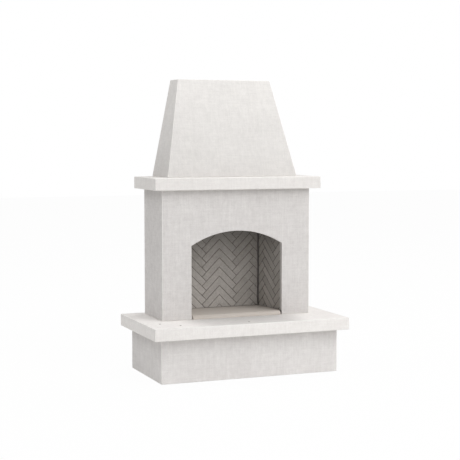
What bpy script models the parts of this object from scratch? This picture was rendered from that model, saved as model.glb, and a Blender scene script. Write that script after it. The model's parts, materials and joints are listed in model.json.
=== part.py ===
"""Outdoor fireplace: hollow cast concrete sections stacked round a steel frame and a brick-lined firebox.

Units are metres and +Z is up. The origin is on the ground, under the middle of the widest outline.
The firebox opens towards -Y. Every section stands on the one below it, over a thin recessed seal.
"""
import math

import bmesh
import bpy
from mathutils import Matrix, Vector

INCH = 0.0254
FIT = 0.0003
OVERRUN = 0.02
RUN_CLEARANCE = 0.003
QUARTER_TURN = math.radians(90)
BRICK_TURN = math.radians(45)
SHARP_ANGLE = math.radians(35)
STRAIGHT_LIMIT = math.radians(1)

# Base, the plinth that the hearth slab overhangs
BASE_WIDTH = 61.0 * INCH
BASE_DEPTH = 30.5 * INCH
BASE_HEIGHT = 14.0 * INCH
BASE_WALL = 1.5 * INCH
BASE_RETURN = 3.0 * INCH
BASE_RETURN_HEIGHT = 1.25 * INCH
BASE_RIB = 1.5 * INCH
BAY_COUNT = 3

# Hearth slab
SLAB_OVERHANG = 3.0 * INCH
SLAB_THICKNESS = 4.0 * INCH
SLAB_SKIN = 1.5 * INCH

# Body with the arched opening
BODY_WIDTH = 52.0 * INCH
BODY_DEPTH = 18.4 * INCH
BODY_HEIGHT = 42.0 * INCH
FRONT_WALL = 1.6 * INCH
SIDE_WALL = 1.5 * INCH
BODY_FLANGE = 3.5 * INCH
BODY_FLANGE_HEIGHT = 1.5 * INCH
REAR_COVER_THICKNESS = 0.75 * INCH
OPENING_WIDTH = 32.0 * INCH
SPRING_HEIGHT = 24.0 * INCH
ARCH_RISE = 4.5 * INCH
ARCH_STEPS = 20

# Mantel shelf
MANTEL_THICKNESS = 4.0 * INCH
MANTEL_SIDE_OVERHANG = 3.0 * INCH
MANTEL_FRONT_OVERHANG = 2.5 * INCH
MANTEL_BACK_OVERHANG = 1.5 * INCH
MANTEL_SKIN = 1.5 * INCH
MANTEL_HOLE_MARGIN = 1.0 * INCH
MANTEL_WEB = 1.5 * INCH

# Chimney hood, a tapered casing with an upright back
HOOD_HEIGHT = 32.0 * INCH
HOOD_FOOT_WIDTH = 45.75 * INCH
HOOD_FOOT_DEPTH = 15.85 * INCH
HOOD_HEAD_WIDTH = 32.8 * INCH
HOOD_HEAD_DEPTH = 7.67 * INCH
HOOD_BACK_OVERHANG = 0.75 * INCH
HOOD_WALL = 1.1 * INCH
HOOD_FLANGE = 2.25 * INCH
HOOD_FLANGE_HEIGHT = 1.25 * INCH
HOOD_LEDGE = 0.55 * INCH
HOOD_LEDGE_HEIGHT = 1.0 * INCH
HOOD_LEDGE_DROP = 5.5 * INCH

# Shared finish of the castings and the seals between them
ARRIS = 0.12 * INCH
SEAL_HEIGHT = 0.08 * INCH
SEAL_INSET = 0.13 * INCH
SEAL_WIDTH = 0.8 * INCH

# Steel frame under the hearth
RAIL = 2.0 * INCH
LEG_WIDTH = 1.5 * INCH
LEG_FOOT_WIDTH = 3.0 * INCH
LEG_FOOT_THICKNESS = 0.25 * INCH
LEG_ROUNDING = 0.2 * INCH

# Firebox
FLOOR_THICKNESS = 1.25 * INCH
FLOOR_NOSE = 0.4 * INCH
FLOOR_NOSE_RADIUS = 1.15 * INCH
FLOOR_NOSE_STEPS = 6
FLOOR_SIDE_GAP = 0.55 * INCH
FIREBOX_REAR = 2.75 * INCH
FIREBOX_REAR_WIDTH = 28.0 * INCH
FIREBOX_FRONT_WIDTH = 33.2 * INCH
PANEL_HEIGHT = 28.0 * INCH
PANEL_THICKNESS = 1.25 * INCH
PANEL_CORNER_SLOT = 0.5 * INCH
INSULATION_THICKNESS = 0.5 * INCH
BRICK_PITCH = 2.26 * INCH
BRICK_LONG_COUNT = 7
BRICK_WIDE_COUNT = 2
BRICK_JOINT = 0.22 * INCH
BRICK_OUTLINE = 0.015 * INCH
BRICK_RELIEF = 0.14 * INCH
REAR_APEX_RISE = 0.95 * INCH
SIDE_APEX_SETBACK = 3.1 * INCH
WHOLE_BRICK_LIMIT = 2.5 * BRICK_JOINT

# Side frames, lintel and ledger that carry the throat
SIDE_FRAME_RAIL = 1.5 * INCH
SIDE_FRAME_GAP = 0.6 * INCH
ANGLE_LEG = 1.75 * INCH
ANGLE_THICKNESS = 0.25 * INCH

# Throat and damper
THROAT_FRAME_THICKNESS = 0.75 * INCH
THROAT_FRAME_LAP = 0.4 * INCH
THROAT_WIDTH = 24.0 * INCH
THROAT_DEPTH = 5.5 * INCH
THROAT_SETBACK = 2.8 * INCH
DAMPER_THICKNESS = 0.19 * INCH
DAMPER_LAP = 0.3 * INCH
DAMPER_RIB = 0.3 * INCH
DAMPER_RIB_SHARES = (-0.72, 0.0, 0.72)
HINGE_ROD_RADIUS = 0.16 * INCH
KNUCKLE_RADIUS = 0.34 * INCH
KNUCKLE_LENGTH = 1.5 * INCH
EAR_WIDTH = 0.5 * INCH
EAR_DEPTH = 0.9 * INCH
LUG_THICKNESS = 0.25 * INCH
LUG_DROP = 0.7 * INCH
LUG_DEPTH = 0.8 * INCH
ARM_SETIN = 0.6 * INCH
ARM_LENGTH = 4.4 * INCH
ARM_WIDTH = 0.55 * INCH
ARM_THICKNESS = 0.19 * INCH
ARM_NOTCH = 0.16 * INCH
ARM_NOTCH_COUNT = 4
ARM_EYE_RADIUS = 0.55 * INCH
ARM_EYE_HOLE_RADIUS = 0.33 * INCH
ARM_HEAD_STEPS = 6
ARM_EYE_STEPS = 12
ARM_PIN_RADIUS = 0.1 * INCH
ARM_PIN_HEAD_RADIUS = 0.2 * INCH
ARM_PIN_HEAD = 0.1 * INCH

# Smoke dome and flue
DOME_SHEET = 0.12 * INCH
DOME_LIP = 0.75 * INCH
DOME_MARGIN = 0.4 * INCH
DOME_SKIRT = 5.0 * INCH
DOME_RISE = 6.0 * INCH
DOME_COLLAR = 1.0 * INCH
FLUE_WIDTH = 18.0 * INCH
FLUE_DEPTH = 4.5 * INCH
FLUE_SETBACK = 1.05 * INCH
FLUE_SHEET = 0.1 * INCH
FLUE_CORNER = 0.6 * INCH
FLUE_CORNER_STEPS = 4
FLUE_JOINT_RISE = 8.0 * INCH
FLUE_STANDOUT = 1.2 * INCH
BAND_HEIGHT = 2.0 * INCH
SHEET_PLATE = 0.08 * INCH
FIRESTOP_MARGIN = 1.6 * INCH
COLLAR_HEIGHT = 0.6 * INCH
SCREEN_HEIGHT = 2.4 * INCH
SCREEN_WIRE = 0.12 * INCH
SCREEN_LAP = 0.2 * INCH
SCREEN_LONG_COUNT = 10
SCREEN_SHORT_COUNT = 3
SCREEN_ROW_COUNT = 2
CAP_EAVE = 0.3 * INCH
CAP_RISE = 0.45 * INCH
CAP_RIDGE = 0.3 * INCH

# Fasteners
BOLT_RADIUS = 0.25 * INCH
BOLT_HEAD_RADIUS = 0.45 * INCH
BOLT_HEAD_HEIGHT = 0.3 * INCH
BOLT_GRIP = 1.0 * INCH
BOLT_DEPTH_SHARES = (1 / 3, 2 / 3)
DOWEL_RADIUS = 0.3 * INCH
DOWEL_REACH = 1.0 * INCH
SCREW_RADIUS = 0.12 * INCH
SCREW_HEAD_RADIUS = 0.28 * INCH
SCREW_HEAD_HEIGHT = 0.12 * INCH
SCREW_EDGE_SHARE = 0.12
ROUND_SIDES = 16
SMALL_ROUND_SIDES = 12

# Places that follow from the sizes above
BACK = BASE_DEPTH / 2
BASE_FRONT = BACK - BASE_DEPTH
SLAB_BOTTOM = BASE_HEIGHT + SEAL_HEIGHT
SLAB_TOP = BASE_HEIGHT + SLAB_THICKNESS
BODY_FRONT = BACK - BODY_DEPTH
BODY_BOTTOM = SLAB_TOP + SEAL_HEIGHT
BODY_TOP = SLAB_TOP + BODY_HEIGHT
BODY_REAR_FACE = BODY_FRONT + FRONT_WALL
MANTEL_BOTTOM = BODY_TOP + SEAL_HEIGHT
MANTEL_TOP = BODY_TOP + MANTEL_THICKNESS
MANTEL_FRONT = BODY_FRONT - MANTEL_FRONT_OVERHANG
MANTEL_BACK = BACK + MANTEL_BACK_OVERHANG
HOOD_BOTTOM = MANTEL_TOP + SEAL_HEIGHT
HOOD_TOP = MANTEL_TOP + HOOD_HEIGHT
HOOD_BACK = BACK + HOOD_BACK_OVERHANG
LEDGE_TOP = HOOD_TOP - HOOD_LEDGE_DROP
FLOOR_TOP = SLAB_TOP + FIT + FLOOR_THICKNESS
PANEL_BOTTOM = FLOOR_TOP + FIT
PANEL_TOP = PANEL_BOTTOM + PANEL_HEIGHT
PANEL_FACE = BACK - FIREBOX_REAR
ANGLE_BOTTOM = PANEL_TOP + FIT
THROAT_BOTTOM = ANGLE_BOTTOM + ANGLE_THICKNESS + FIT
THROAT_TOP = THROAT_BOTTOM + THROAT_FRAME_THICKNESS
THROAT_REAR_FACE = BACK - REAR_COVER_THICKNESS - FIT
THROAT_FRONT = BODY_REAR_FACE + ANGLE_THICKNESS + 2 * FIT
THROAT_BACK = THROAT_REAR_FACE - ANGLE_THICKNESS - FIT
THROAT_HALF = FIREBOX_FRONT_WIDTH / 2 + THROAT_FRAME_LAP
THROAT_HOLE_FRONT = BODY_REAR_FACE + THROAT_SETBACK
THROAT_HOLE_BACK = THROAT_HOLE_FRONT + THROAT_DEPTH
ROD_Y = THROAT_HOLE_BACK + DAMPER_LAP
ROD_Z = THROAT_TOP + FIT + KNUCKLE_RADIUS
FLUE_BACK = BACK - FLUE_SETBACK
FLUE_FRONT = FLUE_BACK - FLUE_DEPTH
DOME_BOTTOM = THROAT_TOP + FIT
DOME_SHOULDER = DOME_BOTTOM + DOME_SKIRT + DOME_RISE
LINER_BOTTOM = DOME_SHOULDER + FIT
LINER_JOINT = MANTEL_TOP + FLUE_JOINT_RISE
LINER_TOP = LEDGE_TOP + FLUE_STANDOUT
PAN_BOTTOM = LEDGE_TOP + FIT
PAN_TOP = PAN_BOTTOM + SHEET_PLATE
SPLAY = math.atan2((FIREBOX_FRONT_WIDTH - FIREBOX_REAR_WIDTH) / 2, PANEL_FACE - BODY_REAR_FACE)
LINING_THICKNESS = PANEL_THICKNESS + INSULATION_THICKNESS
SIDE_FRAME_X = FIREBOX_FRONT_WIDTH / 2 + LINING_THICKNESS / math.cos(SPLAY) + SIDE_FRAME_GAP
FRAME_HALF = BASE_WIDTH / 2 - BASE_RETURN - FIT
FRAME_FRONT = BASE_FRONT + BASE_RETURN + FIT
FRAME_BACK = BACK - BASE_RETURN - FIT
FRAME_TOP = SLAB_BOTTOM - FIT
FRAME_BOTTOM = FRAME_TOP - RAIL
CROSS_RAIL_X = FRAME_HALF / BAY_COUNT

FINISHES = {
    "cast_concrete": ((0.72, 0.70, 0.68), 0.85, 0.0),
    "refractory": ((0.26, 0.245, 0.23), 0.9, 0.0),
    "hearth_tile": ((0.66, 0.63, 0.60), 0.8, 0.0),
    "insulation": ((0.62, 0.60, 0.52), 0.95, 0.0),
    "galvanised": ((0.48, 0.49, 0.50), 0.45, 0.9),
    "black_steel": ((0.05, 0.05, 0.055), 0.55, 0.8),
    "cast_iron": ((0.06, 0.06, 0.06), 0.65, 0.7),
    "stainless": ((0.56, 0.57, 0.58), 0.3, 1.0),
    "sealant": ((0.42, 0.40, 0.38), 0.9, 0.0),
}


def clear_scene():
    for item in list(bpy.data.objects):
        bpy.data.objects.remove(item, do_unlink=True)


def new_collection(name):
    group = bpy.data.collections.new(name)
    bpy.context.scene.collection.children.link(group)
    return group


def node_material(name, finish):
    colour, roughness, metallic = FINISHES[finish]
    material = bpy.data.materials.new(name + "_finish")
    material.use_nodes = True
    shader = material.node_tree.nodes["Principled BSDF"]
    shader.inputs["Base Color"].default_value = (*colour, 1.0)
    shader.inputs["Roughness"].default_value = roughness
    shader.inputs["Metallic"].default_value = metallic
    material.diffuse_color = (*colour, 1.0)
    return material


def link_part(obj, finish, round_piece=False):
    """Put a finished sub-part in the part's collection with its own material."""
    PARTS.objects.link(obj)
    obj.data.materials.clear()
    obj.data.materials.append(node_material(obj.name, finish))
    if round_piece:
        obj.data.shade_smooth()
        obj.data.set_sharp_from_angle(angle=SHARP_ANGLE)
    return obj


def link_cutter(obj):
    CUTTERS.objects.link(obj)
    obj.hide_render = True
    obj.display_type = "WIRE"
    return obj


def to_object(name, bm, outward=True):
    if outward:
        bmesh.ops.recalc_face_normals(bm, faces=bm.faces)
    mesh = bpy.data.meshes.new(name)
    bm.to_mesh(mesh)
    bm.free()
    return bpy.data.objects.new(name, mesh)


def add_block(bm, low, high):
    """Add a box between two corners to a bmesh and return its vertices."""
    low, high = Vector(low), Vector(high)
    made = bmesh.ops.create_cube(bm, size=1)["verts"]
    bmesh.ops.scale(bm, vec=high - low, verts=made)
    bmesh.ops.translate(bm, vec=(low + high) / 2, verts=made)
    return made


def block(name, low, high, arris=0):
    bm = bmesh.new()
    add_block(bm, low, high)
    if arris:
        bmesh.ops.bevel(bm, geom=bm.edges[:], offset=arris, segments=1, profile=0.5,
                        affect="EDGES", material=-1)
    return to_object(name, bm)


def rod(name, radius, start, end, sides=ROUND_SIDES):
    """A straight round bar between two points."""
    start, end = Vector(start), Vector(end)
    bm = bmesh.new()
    bmesh.ops.create_cone(bm, cap_ends=True, segments=sides, radius1=radius, radius2=radius,
                          depth=(end - start).length)
    turn = Vector((0, 0, 1)).rotation_difference(end - start).to_matrix().to_4x4()
    bmesh.ops.transform(bm, matrix=Matrix.Translation((start + end) / 2) @ turn, verts=bm.verts)
    return to_object(name, bm)


def flat_shape(name, outlines, low, high, turn=None):
    """Extrude a 2D outline, with any further outlines as holes, from low to high along its normal."""
    curve = bpy.data.curves.new(name, "CURVE")
    curve.dimensions = "2D"
    curve.fill_mode = "BOTH"
    curve.extrude = (high - low) / 2
    for points in outlines:
        spline = curve.splines.new("POLY")
        spline.points.add(len(points) - 1)
        for point, (u, v) in zip(spline.points, points):
            point.co = (u, v, 0, 1)
        spline.use_cyclic_u = True
    guide = bpy.data.objects.new(name + "_outline", curve)
    bpy.context.scene.collection.objects.link(guide)
    bpy.context.view_layer.update()
    evaluated = guide.evaluated_get(bpy.context.evaluated_depsgraph_get())
    mesh = bpy.data.meshes.new_from_object(evaluated)
    bpy.data.objects.remove(guide, do_unlink=True)
    bm = bmesh.new()
    bm.from_mesh(mesh)
    bmesh.ops.remove_doubles(bm, verts=bm.verts, dist=FIT / 10)
    bmesh.ops.translate(bm, vec=(0, 0, (low + high) / 2), verts=bm.verts)
    if turn is not None:
        bmesh.ops.transform(bm, matrix=turn, verts=bm.verts)
    bpy.data.meshes.remove(mesh)
    return to_object(name, bm)


def boolean(obj, tool, operation="DIFFERENCE"):
    modifier = obj.modifiers.new(operation.lower(), "BOOLEAN")
    modifier.operation = operation
    modifier.solver = "EXACT"
    modifier.object = tool
    return obj


def cut(obj, *tools):
    for tool in tools:
        boolean(obj, link_cutter(tool))
    return obj


def weld_on(obj, *tools):
    for tool in tools:
        boolean(obj, link_cutter(tool), "UNION")
    return obj


def rectangle(x0, y0, x1, y1):
    return [(x0, y0), (x1, y0), (x1, y1), (x0, y1)]


def rounded_rectangle(x0, y0, x1, y1, radius):
    """Corner arcs, anticlockwise from the lower left; an even step count puts a point on each diagonal."""
    points = []
    centres = rectangle(x0 + radius, y0 + radius, x1 - radius, y1 - radius)
    for quarter, (cx, cy) in enumerate(centres):
        for step in range(FLUE_CORNER_STEPS + 1):
            angle = math.pi + QUARTER_TURN * (quarter + step / FLUE_CORNER_STEPS)
            points.append((cx + radius * math.cos(angle), cy + radius * math.sin(angle)))
    return points


# A 2D outline drawn as (Y, Z) and extruded along X, and one drawn as (X, Z) and extruded along -Y
ACROSS_X = Matrix(((0, 0, 1, 0), (1, 0, 0, 0), (0, 1, 0, 0), (0, 0, 0, 1)))
ALONG_Y = Matrix(((1, 0, 0, 0), (0, 0, -1, 0), (0, 1, 0, 0), (0, 0, 0, 1)))


def make_base():
    """Plinth: four walls with returns at the top and the foot, and upright ribs between the bays."""
    half = BASE_WIDTH / 2
    base = block("base_surround", (-half, BASE_FRONT, 0), (half, BACK, BASE_HEIGHT), ARRIS)
    well = block("base_well", (BASE_RETURN - half, BASE_FRONT + BASE_RETURN, -OVERRUN),
                 (half - BASE_RETURN, BACK - BASE_RETURN, BASE_HEIGHT + OVERRUN))
    cut(base, well)
    inner = half - BASE_WALL
    bay = (2 * inner - (BAY_COUNT - 1) * BASE_RIB) / BAY_COUNT
    for index in range(BAY_COUNT):
        left = -inner + index * (bay + BASE_RIB)
        cut(base, block(f"base_bay_{index + 1}", (left, BASE_FRONT + BASE_WALL, BASE_RETURN_HEIGHT),
                        (left + bay, BACK - BASE_WALL, BASE_HEIGHT - BASE_RETURN_HEIGHT)))
    link_part(base, "cast_concrete")


def frame_bays():
    """Left and right edges of the three bays that the cross rails leave in the frame."""
    rim, cross = FRAME_HALF - RAIL, CROSS_RAIL_X
    return ((-rim, -cross - RAIL / 2), (-cross + RAIL / 2, cross - RAIL / 2), (cross + RAIL / 2, rim))


def make_base_frame():
    """Welded ring of square tube with two cross rails, on six legs with foot plates."""
    outlines = [rectangle(-FRAME_HALF, FRAME_FRONT, FRAME_HALF, FRAME_BACK)]
    for left, right in frame_bays():
        outlines.append(rectangle(left, FRAME_FRONT + RAIL, right, FRAME_BACK - RAIL))
    link_part(flat_shape("base_frame", outlines, FRAME_BOTTOM, FRAME_TOP), "black_steel")
    number = 0
    for x in (-FRAME_HALF + RAIL, 0, FRAME_HALF - RAIL):
        for y in (FRAME_FRONT + RAIL, FRAME_BACK - RAIL):
            number += 1
            leg = base_leg(f"base_leg_{number}", x, y)
            link_part(leg, "black_steel")


def base_leg(name, x, y):
    """A foot plate whose top face is inset and drawn up into the post."""
    bm = bmesh.new()
    half = LEG_FOOT_WIDTH / 2
    add_block(bm, (x - half, y - half, 0), (x + half, y + half, LEG_FOOT_THICKNESS))
    bm.faces.ensure_lookup_table()
    top = max(bm.faces, key=lambda face: face.calc_center_median().z)
    bmesh.ops.inset_region(bm, faces=[top], thickness=(LEG_FOOT_WIDTH - LEG_WIDTH) / 2,
                           use_even_offset=True)
    grown = bmesh.ops.extrude_face_region(bm, geom=[top])["geom"]
    post = [item for item in grown if isinstance(item, bmesh.types.BMVert)]
    bmesh.ops.translate(bm, vec=(0, 0, FRAME_BOTTOM - FIT - LEG_FOOT_THICKNESS), verts=post)
    bmesh.ops.delete(bm, geom=[top], context="FACES_ONLY")
    upright = [edge for edge in bm.edges if abs(edge.verts[0].co.z - edge.verts[1].co.z) > LEG_FOOT_WIDTH]
    bmesh.ops.bevel(bm, geom=upright, offset=LEG_ROUNDING, segments=2, profile=0.5,
                    affect="EDGES", material=-1)
    return to_object(name, bm)


def make_hearth_slab():
    """Overhanging slab: a solid rim over the base and three coffers between the ribs underneath."""
    half = BASE_WIDTH / 2 + SLAB_OVERHANG
    front, back = BASE_FRONT - SLAB_OVERHANG, BACK + SLAB_OVERHANG
    slab = block("hearth_slab", (-half, front, SLAB_BOTTOM), (half, back, SLAB_TOP), ARRIS)
    for index, (left, right) in enumerate(frame_bays()):
        cut(slab, block(f"slab_coffer_{index + 1}", (left, FRAME_FRONT + RAIL, SLAB_BOTTOM - OVERRUN),
                        (right, FRAME_BACK - RAIL, SLAB_TOP - SLAB_SKIN)))
    link_part(slab, "cast_concrete")


def arch_outline(spring, foot):
    """Front view of the opening: upright jambs under a segmental arch."""
    half = OPENING_WIDTH / 2
    radius = (half ** 2 + ARCH_RISE ** 2) / (2 * ARCH_RISE)
    centre = spring + ARCH_RISE - radius
    spread = math.asin(half / radius)
    points = [(-half, foot), (half, foot)]
    for step in range(ARCH_STEPS + 1):
        angle = spread - 2 * spread * step / ARCH_STEPS
        points.append((radius * math.sin(angle), centre + radius * math.cos(angle)))
    return points


def make_body():
    """Front and side walls in one casting with a top return, and the cover that closes its back."""
    half = BODY_WIDTH / 2
    body = block("arched_surround", (-half, BODY_FRONT, BODY_BOTTOM), (half, BACK, BODY_TOP), ARRIS)
    flange_bottom = BODY_TOP - BODY_FLANGE_HEIGHT
    cut(body,
        block("body_hollow", (SIDE_WALL - half, BODY_REAR_FACE, BODY_BOTTOM - OVERRUN),
              (half - SIDE_WALL, BACK + OVERRUN, flange_bottom)),
        block("body_top_gap", (BODY_FLANGE - half, BODY_FRONT + BODY_FLANGE, flange_bottom - OVERRUN),
              (half - BODY_FLANGE, BACK + OVERRUN, BODY_TOP + OVERRUN)),
        block("rear_cover_seat",
              (SIDE_WALL - half, BACK - REAR_COVER_THICKNESS - FIT, flange_bottom - OVERRUN),
              (half - SIDE_WALL, BACK + OVERRUN, BODY_TOP + OVERRUN)),
        flat_shape("arch_cutter", [arch_outline(SLAB_TOP + SPRING_HEIGHT, BODY_BOTTOM - OVERRUN)],
                   -BODY_REAR_FACE - OVERRUN, OVERRUN - BODY_FRONT, ALONG_Y))
    cover_half = half - SIDE_WALL - FIT
    cover = block("rear_cover", (-cover_half, BACK - REAR_COVER_THICKNESS, BODY_BOTTOM),
                  (cover_half, BACK, BODY_TOP), ARRIS)
    drill_cover(cover)
    link_part(cover, "cast_concrete")
    for index, (x, y) in enumerate(dowel_places()):
        cut(body, rod(f"body_dowel_hole_{index + 1}", DOWEL_RADIUS + FIT, (x, y, BODY_TOP - DOWEL_REACH),
                      (x, y, BODY_TOP + OVERRUN)))
    link_part(body, "cast_concrete")


def cover_screw_places():
    x = SIDE_FRAME_X + SIDE_FRAME_RAIL / 2
    drop = SCREW_EDGE_SHARE * BODY_HEIGHT
    low, high = BODY_BOTTOM + drop, BODY_TOP - drop
    return [(-x, low), (x, low), (-x, high), (x, high)]


def drill_cover(cover):
    start, end = BACK - REAR_COVER_THICKNESS - OVERRUN, BACK + OVERRUN
    for index, (x, z) in enumerate(cover_screw_places()):
        cut(cover, rod(f"cover_hole_{index + 1}", SCREW_RADIUS + FIT, (x, start, z), (x, end, z),
                       SMALL_ROUND_SIDES))


def make_cover_screws():
    """Pan-head screws through the rear cover into the rear posts of the side frames."""
    head = [(SCREW_HEAD_RADIUS, FIT), (SCREW_HEAD_RADIUS, FIT + SCREW_HEAD_HEIGHT / 2),
            (SCREW_HEAD_RADIUS / 2, FIT + SCREW_HEAD_HEIGHT)]
    tip = -REAR_COVER_THICKNESS - SIDE_FRAME_RAIL / 2
    for index, (x, z) in enumerate(cover_screw_places()):
        screw = turned(f"rear_cover_screw_{index + 1}", head, SCREW_RADIUS, tip, SMALL_ROUND_SIDES)
        turn = Matrix.Rotation(-QUARTER_TURN, 4, "X")
        screw.data.transform(Matrix.Translation((x, BACK, z)) @ turn)
        link_part(screw, "stainless", True)


def turned(name, head, shank_radius, tip, sides):
    """Head and shank of a fastener spun round +Z: the head's profile rises from the seat at zero."""
    profile = [(0, tip), (shank_radius, tip), (shank_radius, head[0][1])] + head + [(0, head[-1][1])]
    bm = bmesh.new()
    points = [bm.verts.new((radius, 0, z)) for radius, z in profile]
    edges = [bm.edges.new(pair) for pair in zip(points[:-1], points[1:])]
    bmesh.ops.spin(bm, geom=points + edges, axis=(0, 0, 1), cent=(0, 0, 0), steps=sides,
                   angle=2 * math.pi, use_merge=True, use_duplicate=False)
    bmesh.ops.remove_doubles(bm, verts=bm.verts, dist=FIT / 10)
    return to_object(name, bm)


def make_seal(name, outline_pair, level):
    link_part(flat_shape(name, outline_pair, level + FIT, level + SEAL_HEIGHT - FIT), "sealant")


def ring(x_half, front, back):
    """Outer and inner outline of a seal that runs inside the faces of the section above it."""
    outer = rectangle(-x_half + SEAL_INSET, front + SEAL_INSET, x_half - SEAL_INSET, back - SEAL_INSET)
    edge = SEAL_INSET + SEAL_WIDTH
    return [outer, rectangle(-x_half + edge, front + edge, x_half - edge, back - edge)]


def make_seals():
    make_seal("base_joint_seal", ring(BASE_WIDTH / 2, BASE_FRONT, BACK), BASE_HEIGHT)
    half, jamb = BODY_WIDTH / 2, OPENING_WIDTH / 2
    outer, inner = half - SEAL_INSET, half - SEAL_INSET - SEAL_WIDTH
    front, back = BODY_FRONT + SEAL_INSET, BACK
    foot = jamb + SEAL_INSET
    left_leg = [(-foot, front), (-foot, front + SEAL_WIDTH), (-inner, front + SEAL_WIDTH), (-inner, back),
                (-outer, back), (-outer, front)]
    make_seal("left_body_seal", [left_leg], SLAB_TOP)
    make_seal("right_body_seal", [[(-x, y) for x, y in reversed(left_leg)]], SLAB_TOP)
    mantel_outlines = [rectangle(-outer, front, outer, back - SEAL_INSET),
                       rectangle(-inner, front + SEAL_WIDTH, inner, back - REAR_COVER_THICKNESS)]
    make_seal("mantel_joint_seal", mantel_outlines, BODY_TOP)
    hood_front = HOOD_BACK - HOOD_FOOT_DEPTH
    make_seal("hood_joint_seal", ring(HOOD_FOOT_WIDTH / 2, hood_front, HOOD_BACK), MANTEL_TOP)


def flue_hole_bounds(margin):
    half = FLUE_WIDTH / 2 + margin
    return -half, FLUE_FRONT - margin, half, FLUE_BACK + margin


def dowel_places():
    x = BODY_WIDTH / 2 - BODY_FLANGE + SIDE_WALL / 2
    return [(-x, BODY_FRONT + BODY_FLANGE), (x, BODY_FRONT + BODY_FLANGE),
            (-x, BACK - BODY_FLANGE), (x, BACK - BODY_FLANGE)]


def bolt_places():
    x = HOOD_FOOT_WIDTH / 2 - HOOD_WALL - HOOD_FLANGE / 2
    rows = [HOOD_BACK - share * HOOD_FOOT_DEPTH for share in BOLT_DEPTH_SHARES]
    return [(side, y) for y in rows for side in (-x, x)]


def make_mantel():
    """Shelf with a solid rim, a hole for the flue and a coffer under each end."""
    half = BODY_WIDTH / 2 + MANTEL_SIDE_OVERHANG
    mantel = block("mantel_shelf", (-half, MANTEL_FRONT, MANTEL_BOTTOM),
                   (half, MANTEL_BACK, MANTEL_TOP), ARRIS)
    below = MANTEL_BOTTOM - OVERRUN
    x0, y0, x1, y1 = flue_hole_bounds(MANTEL_HOLE_MARGIN)
    cut(mantel, block("mantel_flue_hole", (x0, y0, below), (x1, y1, MANTEL_TOP + OVERRUN)))
    front, back = BODY_FRONT + BODY_FLANGE, BACK - BODY_FLANGE
    inner, outer = x1 + MANTEL_WEB, BODY_WIDTH / 2 - BODY_FLANGE - MANTEL_WEB
    for name, left, right in (("left", -outer, -inner), ("right", inner, outer)):
        cut(mantel, block(f"mantel_coffer_{name}", (left, front, below),
                          (right, back, MANTEL_TOP - MANTEL_SKIN)))
    for index, (x, y) in enumerate(dowel_places()):
        cut(mantel, rod(f"mantel_dowel_hole_{index + 1}", DOWEL_RADIUS + FIT, (x, y, below),
                        (x, y, MANTEL_BOTTOM + DOWEL_REACH)))
        link_part(rod(f"mantel_dowel_{index + 1}", DOWEL_RADIUS, (x, y, BODY_TOP - DOWEL_REACH + FIT),
                      (x, y, MANTEL_BOTTOM + DOWEL_REACH - FIT)), "galvanised", True)
    for index, (x, y) in enumerate(bolt_places()):
        cut(mantel, rod(f"mantel_bolt_hole_{index + 1}", BOLT_RADIUS + FIT,
                        (x, y, MANTEL_TOP - BOLT_GRIP), (x, y, MANTEL_TOP + OVERRUN)))
    link_part(mantel, "cast_concrete")


def hood_section(z, inset):
    """Half width, front and back of the hood at a height, drawn in from its faces by an inset."""
    share = (z - MANTEL_TOP) / HOOD_HEIGHT
    half = (HOOD_FOOT_WIDTH + (HOOD_HEAD_WIDTH - HOOD_FOOT_WIDTH) * share) / 2
    depth = HOOD_FOOT_DEPTH + (HOOD_HEAD_DEPTH - HOOD_FOOT_DEPTH) * share
    side_slope = (HOOD_FOOT_WIDTH - HOOD_HEAD_WIDTH) / 2 / HOOD_HEIGHT
    front_slope = (HOOD_FOOT_DEPTH - HOOD_HEAD_DEPTH) / HOOD_HEIGHT
    return (half - inset * math.hypot(1, side_slope),
            HOOD_BACK - depth + inset * math.hypot(1, front_slope), HOOD_BACK - inset)


def tapered_block(name, z0, z1, inset, arris=0, back_inset=None):
    """A box whose lower and upper faces take the hood's outline at their heights."""
    bm = bmesh.new()
    made = bmesh.ops.create_cube(bm, size=1)["verts"]
    for vert in made:
        z = z1 if vert.co.z > 0 else z0
        half, front, back = hood_section(z, inset)
        if back_inset is not None:
            back = HOOD_BACK - back_inset
        vert.co = (half if vert.co.x > 0 else -half, back if vert.co.y > 0 else front, z)
    if arris:
        bmesh.ops.bevel(bm, geom=bm.edges[:], offset=arris, segments=1, profile=0.5,
                        affect="EDGES", material=-1)
    return to_object(name, bm)


def make_hood():
    """Tapered casing with a bolting flange at the foot and a ledge for the top pan below the rim."""
    hood = tapered_block("chimney_hood", HOOD_BOTTOM, HOOD_TOP, 0, ARRIS)
    flange_top = HOOD_BOTTOM + HOOD_FLANGE_HEIGHT
    ledge_bottom = LEDGE_TOP - HOOD_LEDGE_HEIGHT
    cut(hood,
        tapered_block("hood_foot_gap", HOOD_BOTTOM - OVERRUN, flange_top + OVERRUN,
                      HOOD_WALL + HOOD_FLANGE, back_inset=HOOD_WALL),
        tapered_block("hood_hollow", flange_top, ledge_bottom, HOOD_WALL),
        tapered_block("hood_ledge_gap", ledge_bottom - OVERRUN, LEDGE_TOP + OVERRUN,
                      HOOD_WALL + HOOD_LEDGE),
        tapered_block("hood_head_gap", LEDGE_TOP, HOOD_TOP + OVERRUN, HOOD_WALL))
    head = [(BOLT_HEAD_RADIUS, 0), (BOLT_HEAD_RADIUS, BOLT_HEAD_HEIGHT)]
    tip = MANTEL_TOP - BOLT_GRIP - flange_top
    for index, (x, y) in enumerate(bolt_places()):
        cut(hood, rod(f"hood_bolt_hole_{index + 1}", BOLT_RADIUS + FIT, (x, y, HOOD_BOTTOM - OVERRUN),
                      (x, y, flange_top + OVERRUN)))
        bolt = turned(f"hood_bolt_{index + 1}", head, BOLT_RADIUS, tip, SMALL_ROUND_SIDES)
        bolt.data.transform(Matrix.Translation((x, y, flange_top + FIT)))
        link_part(bolt, "galvanised", True)
    link_part(hood, "cast_concrete")


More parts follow.
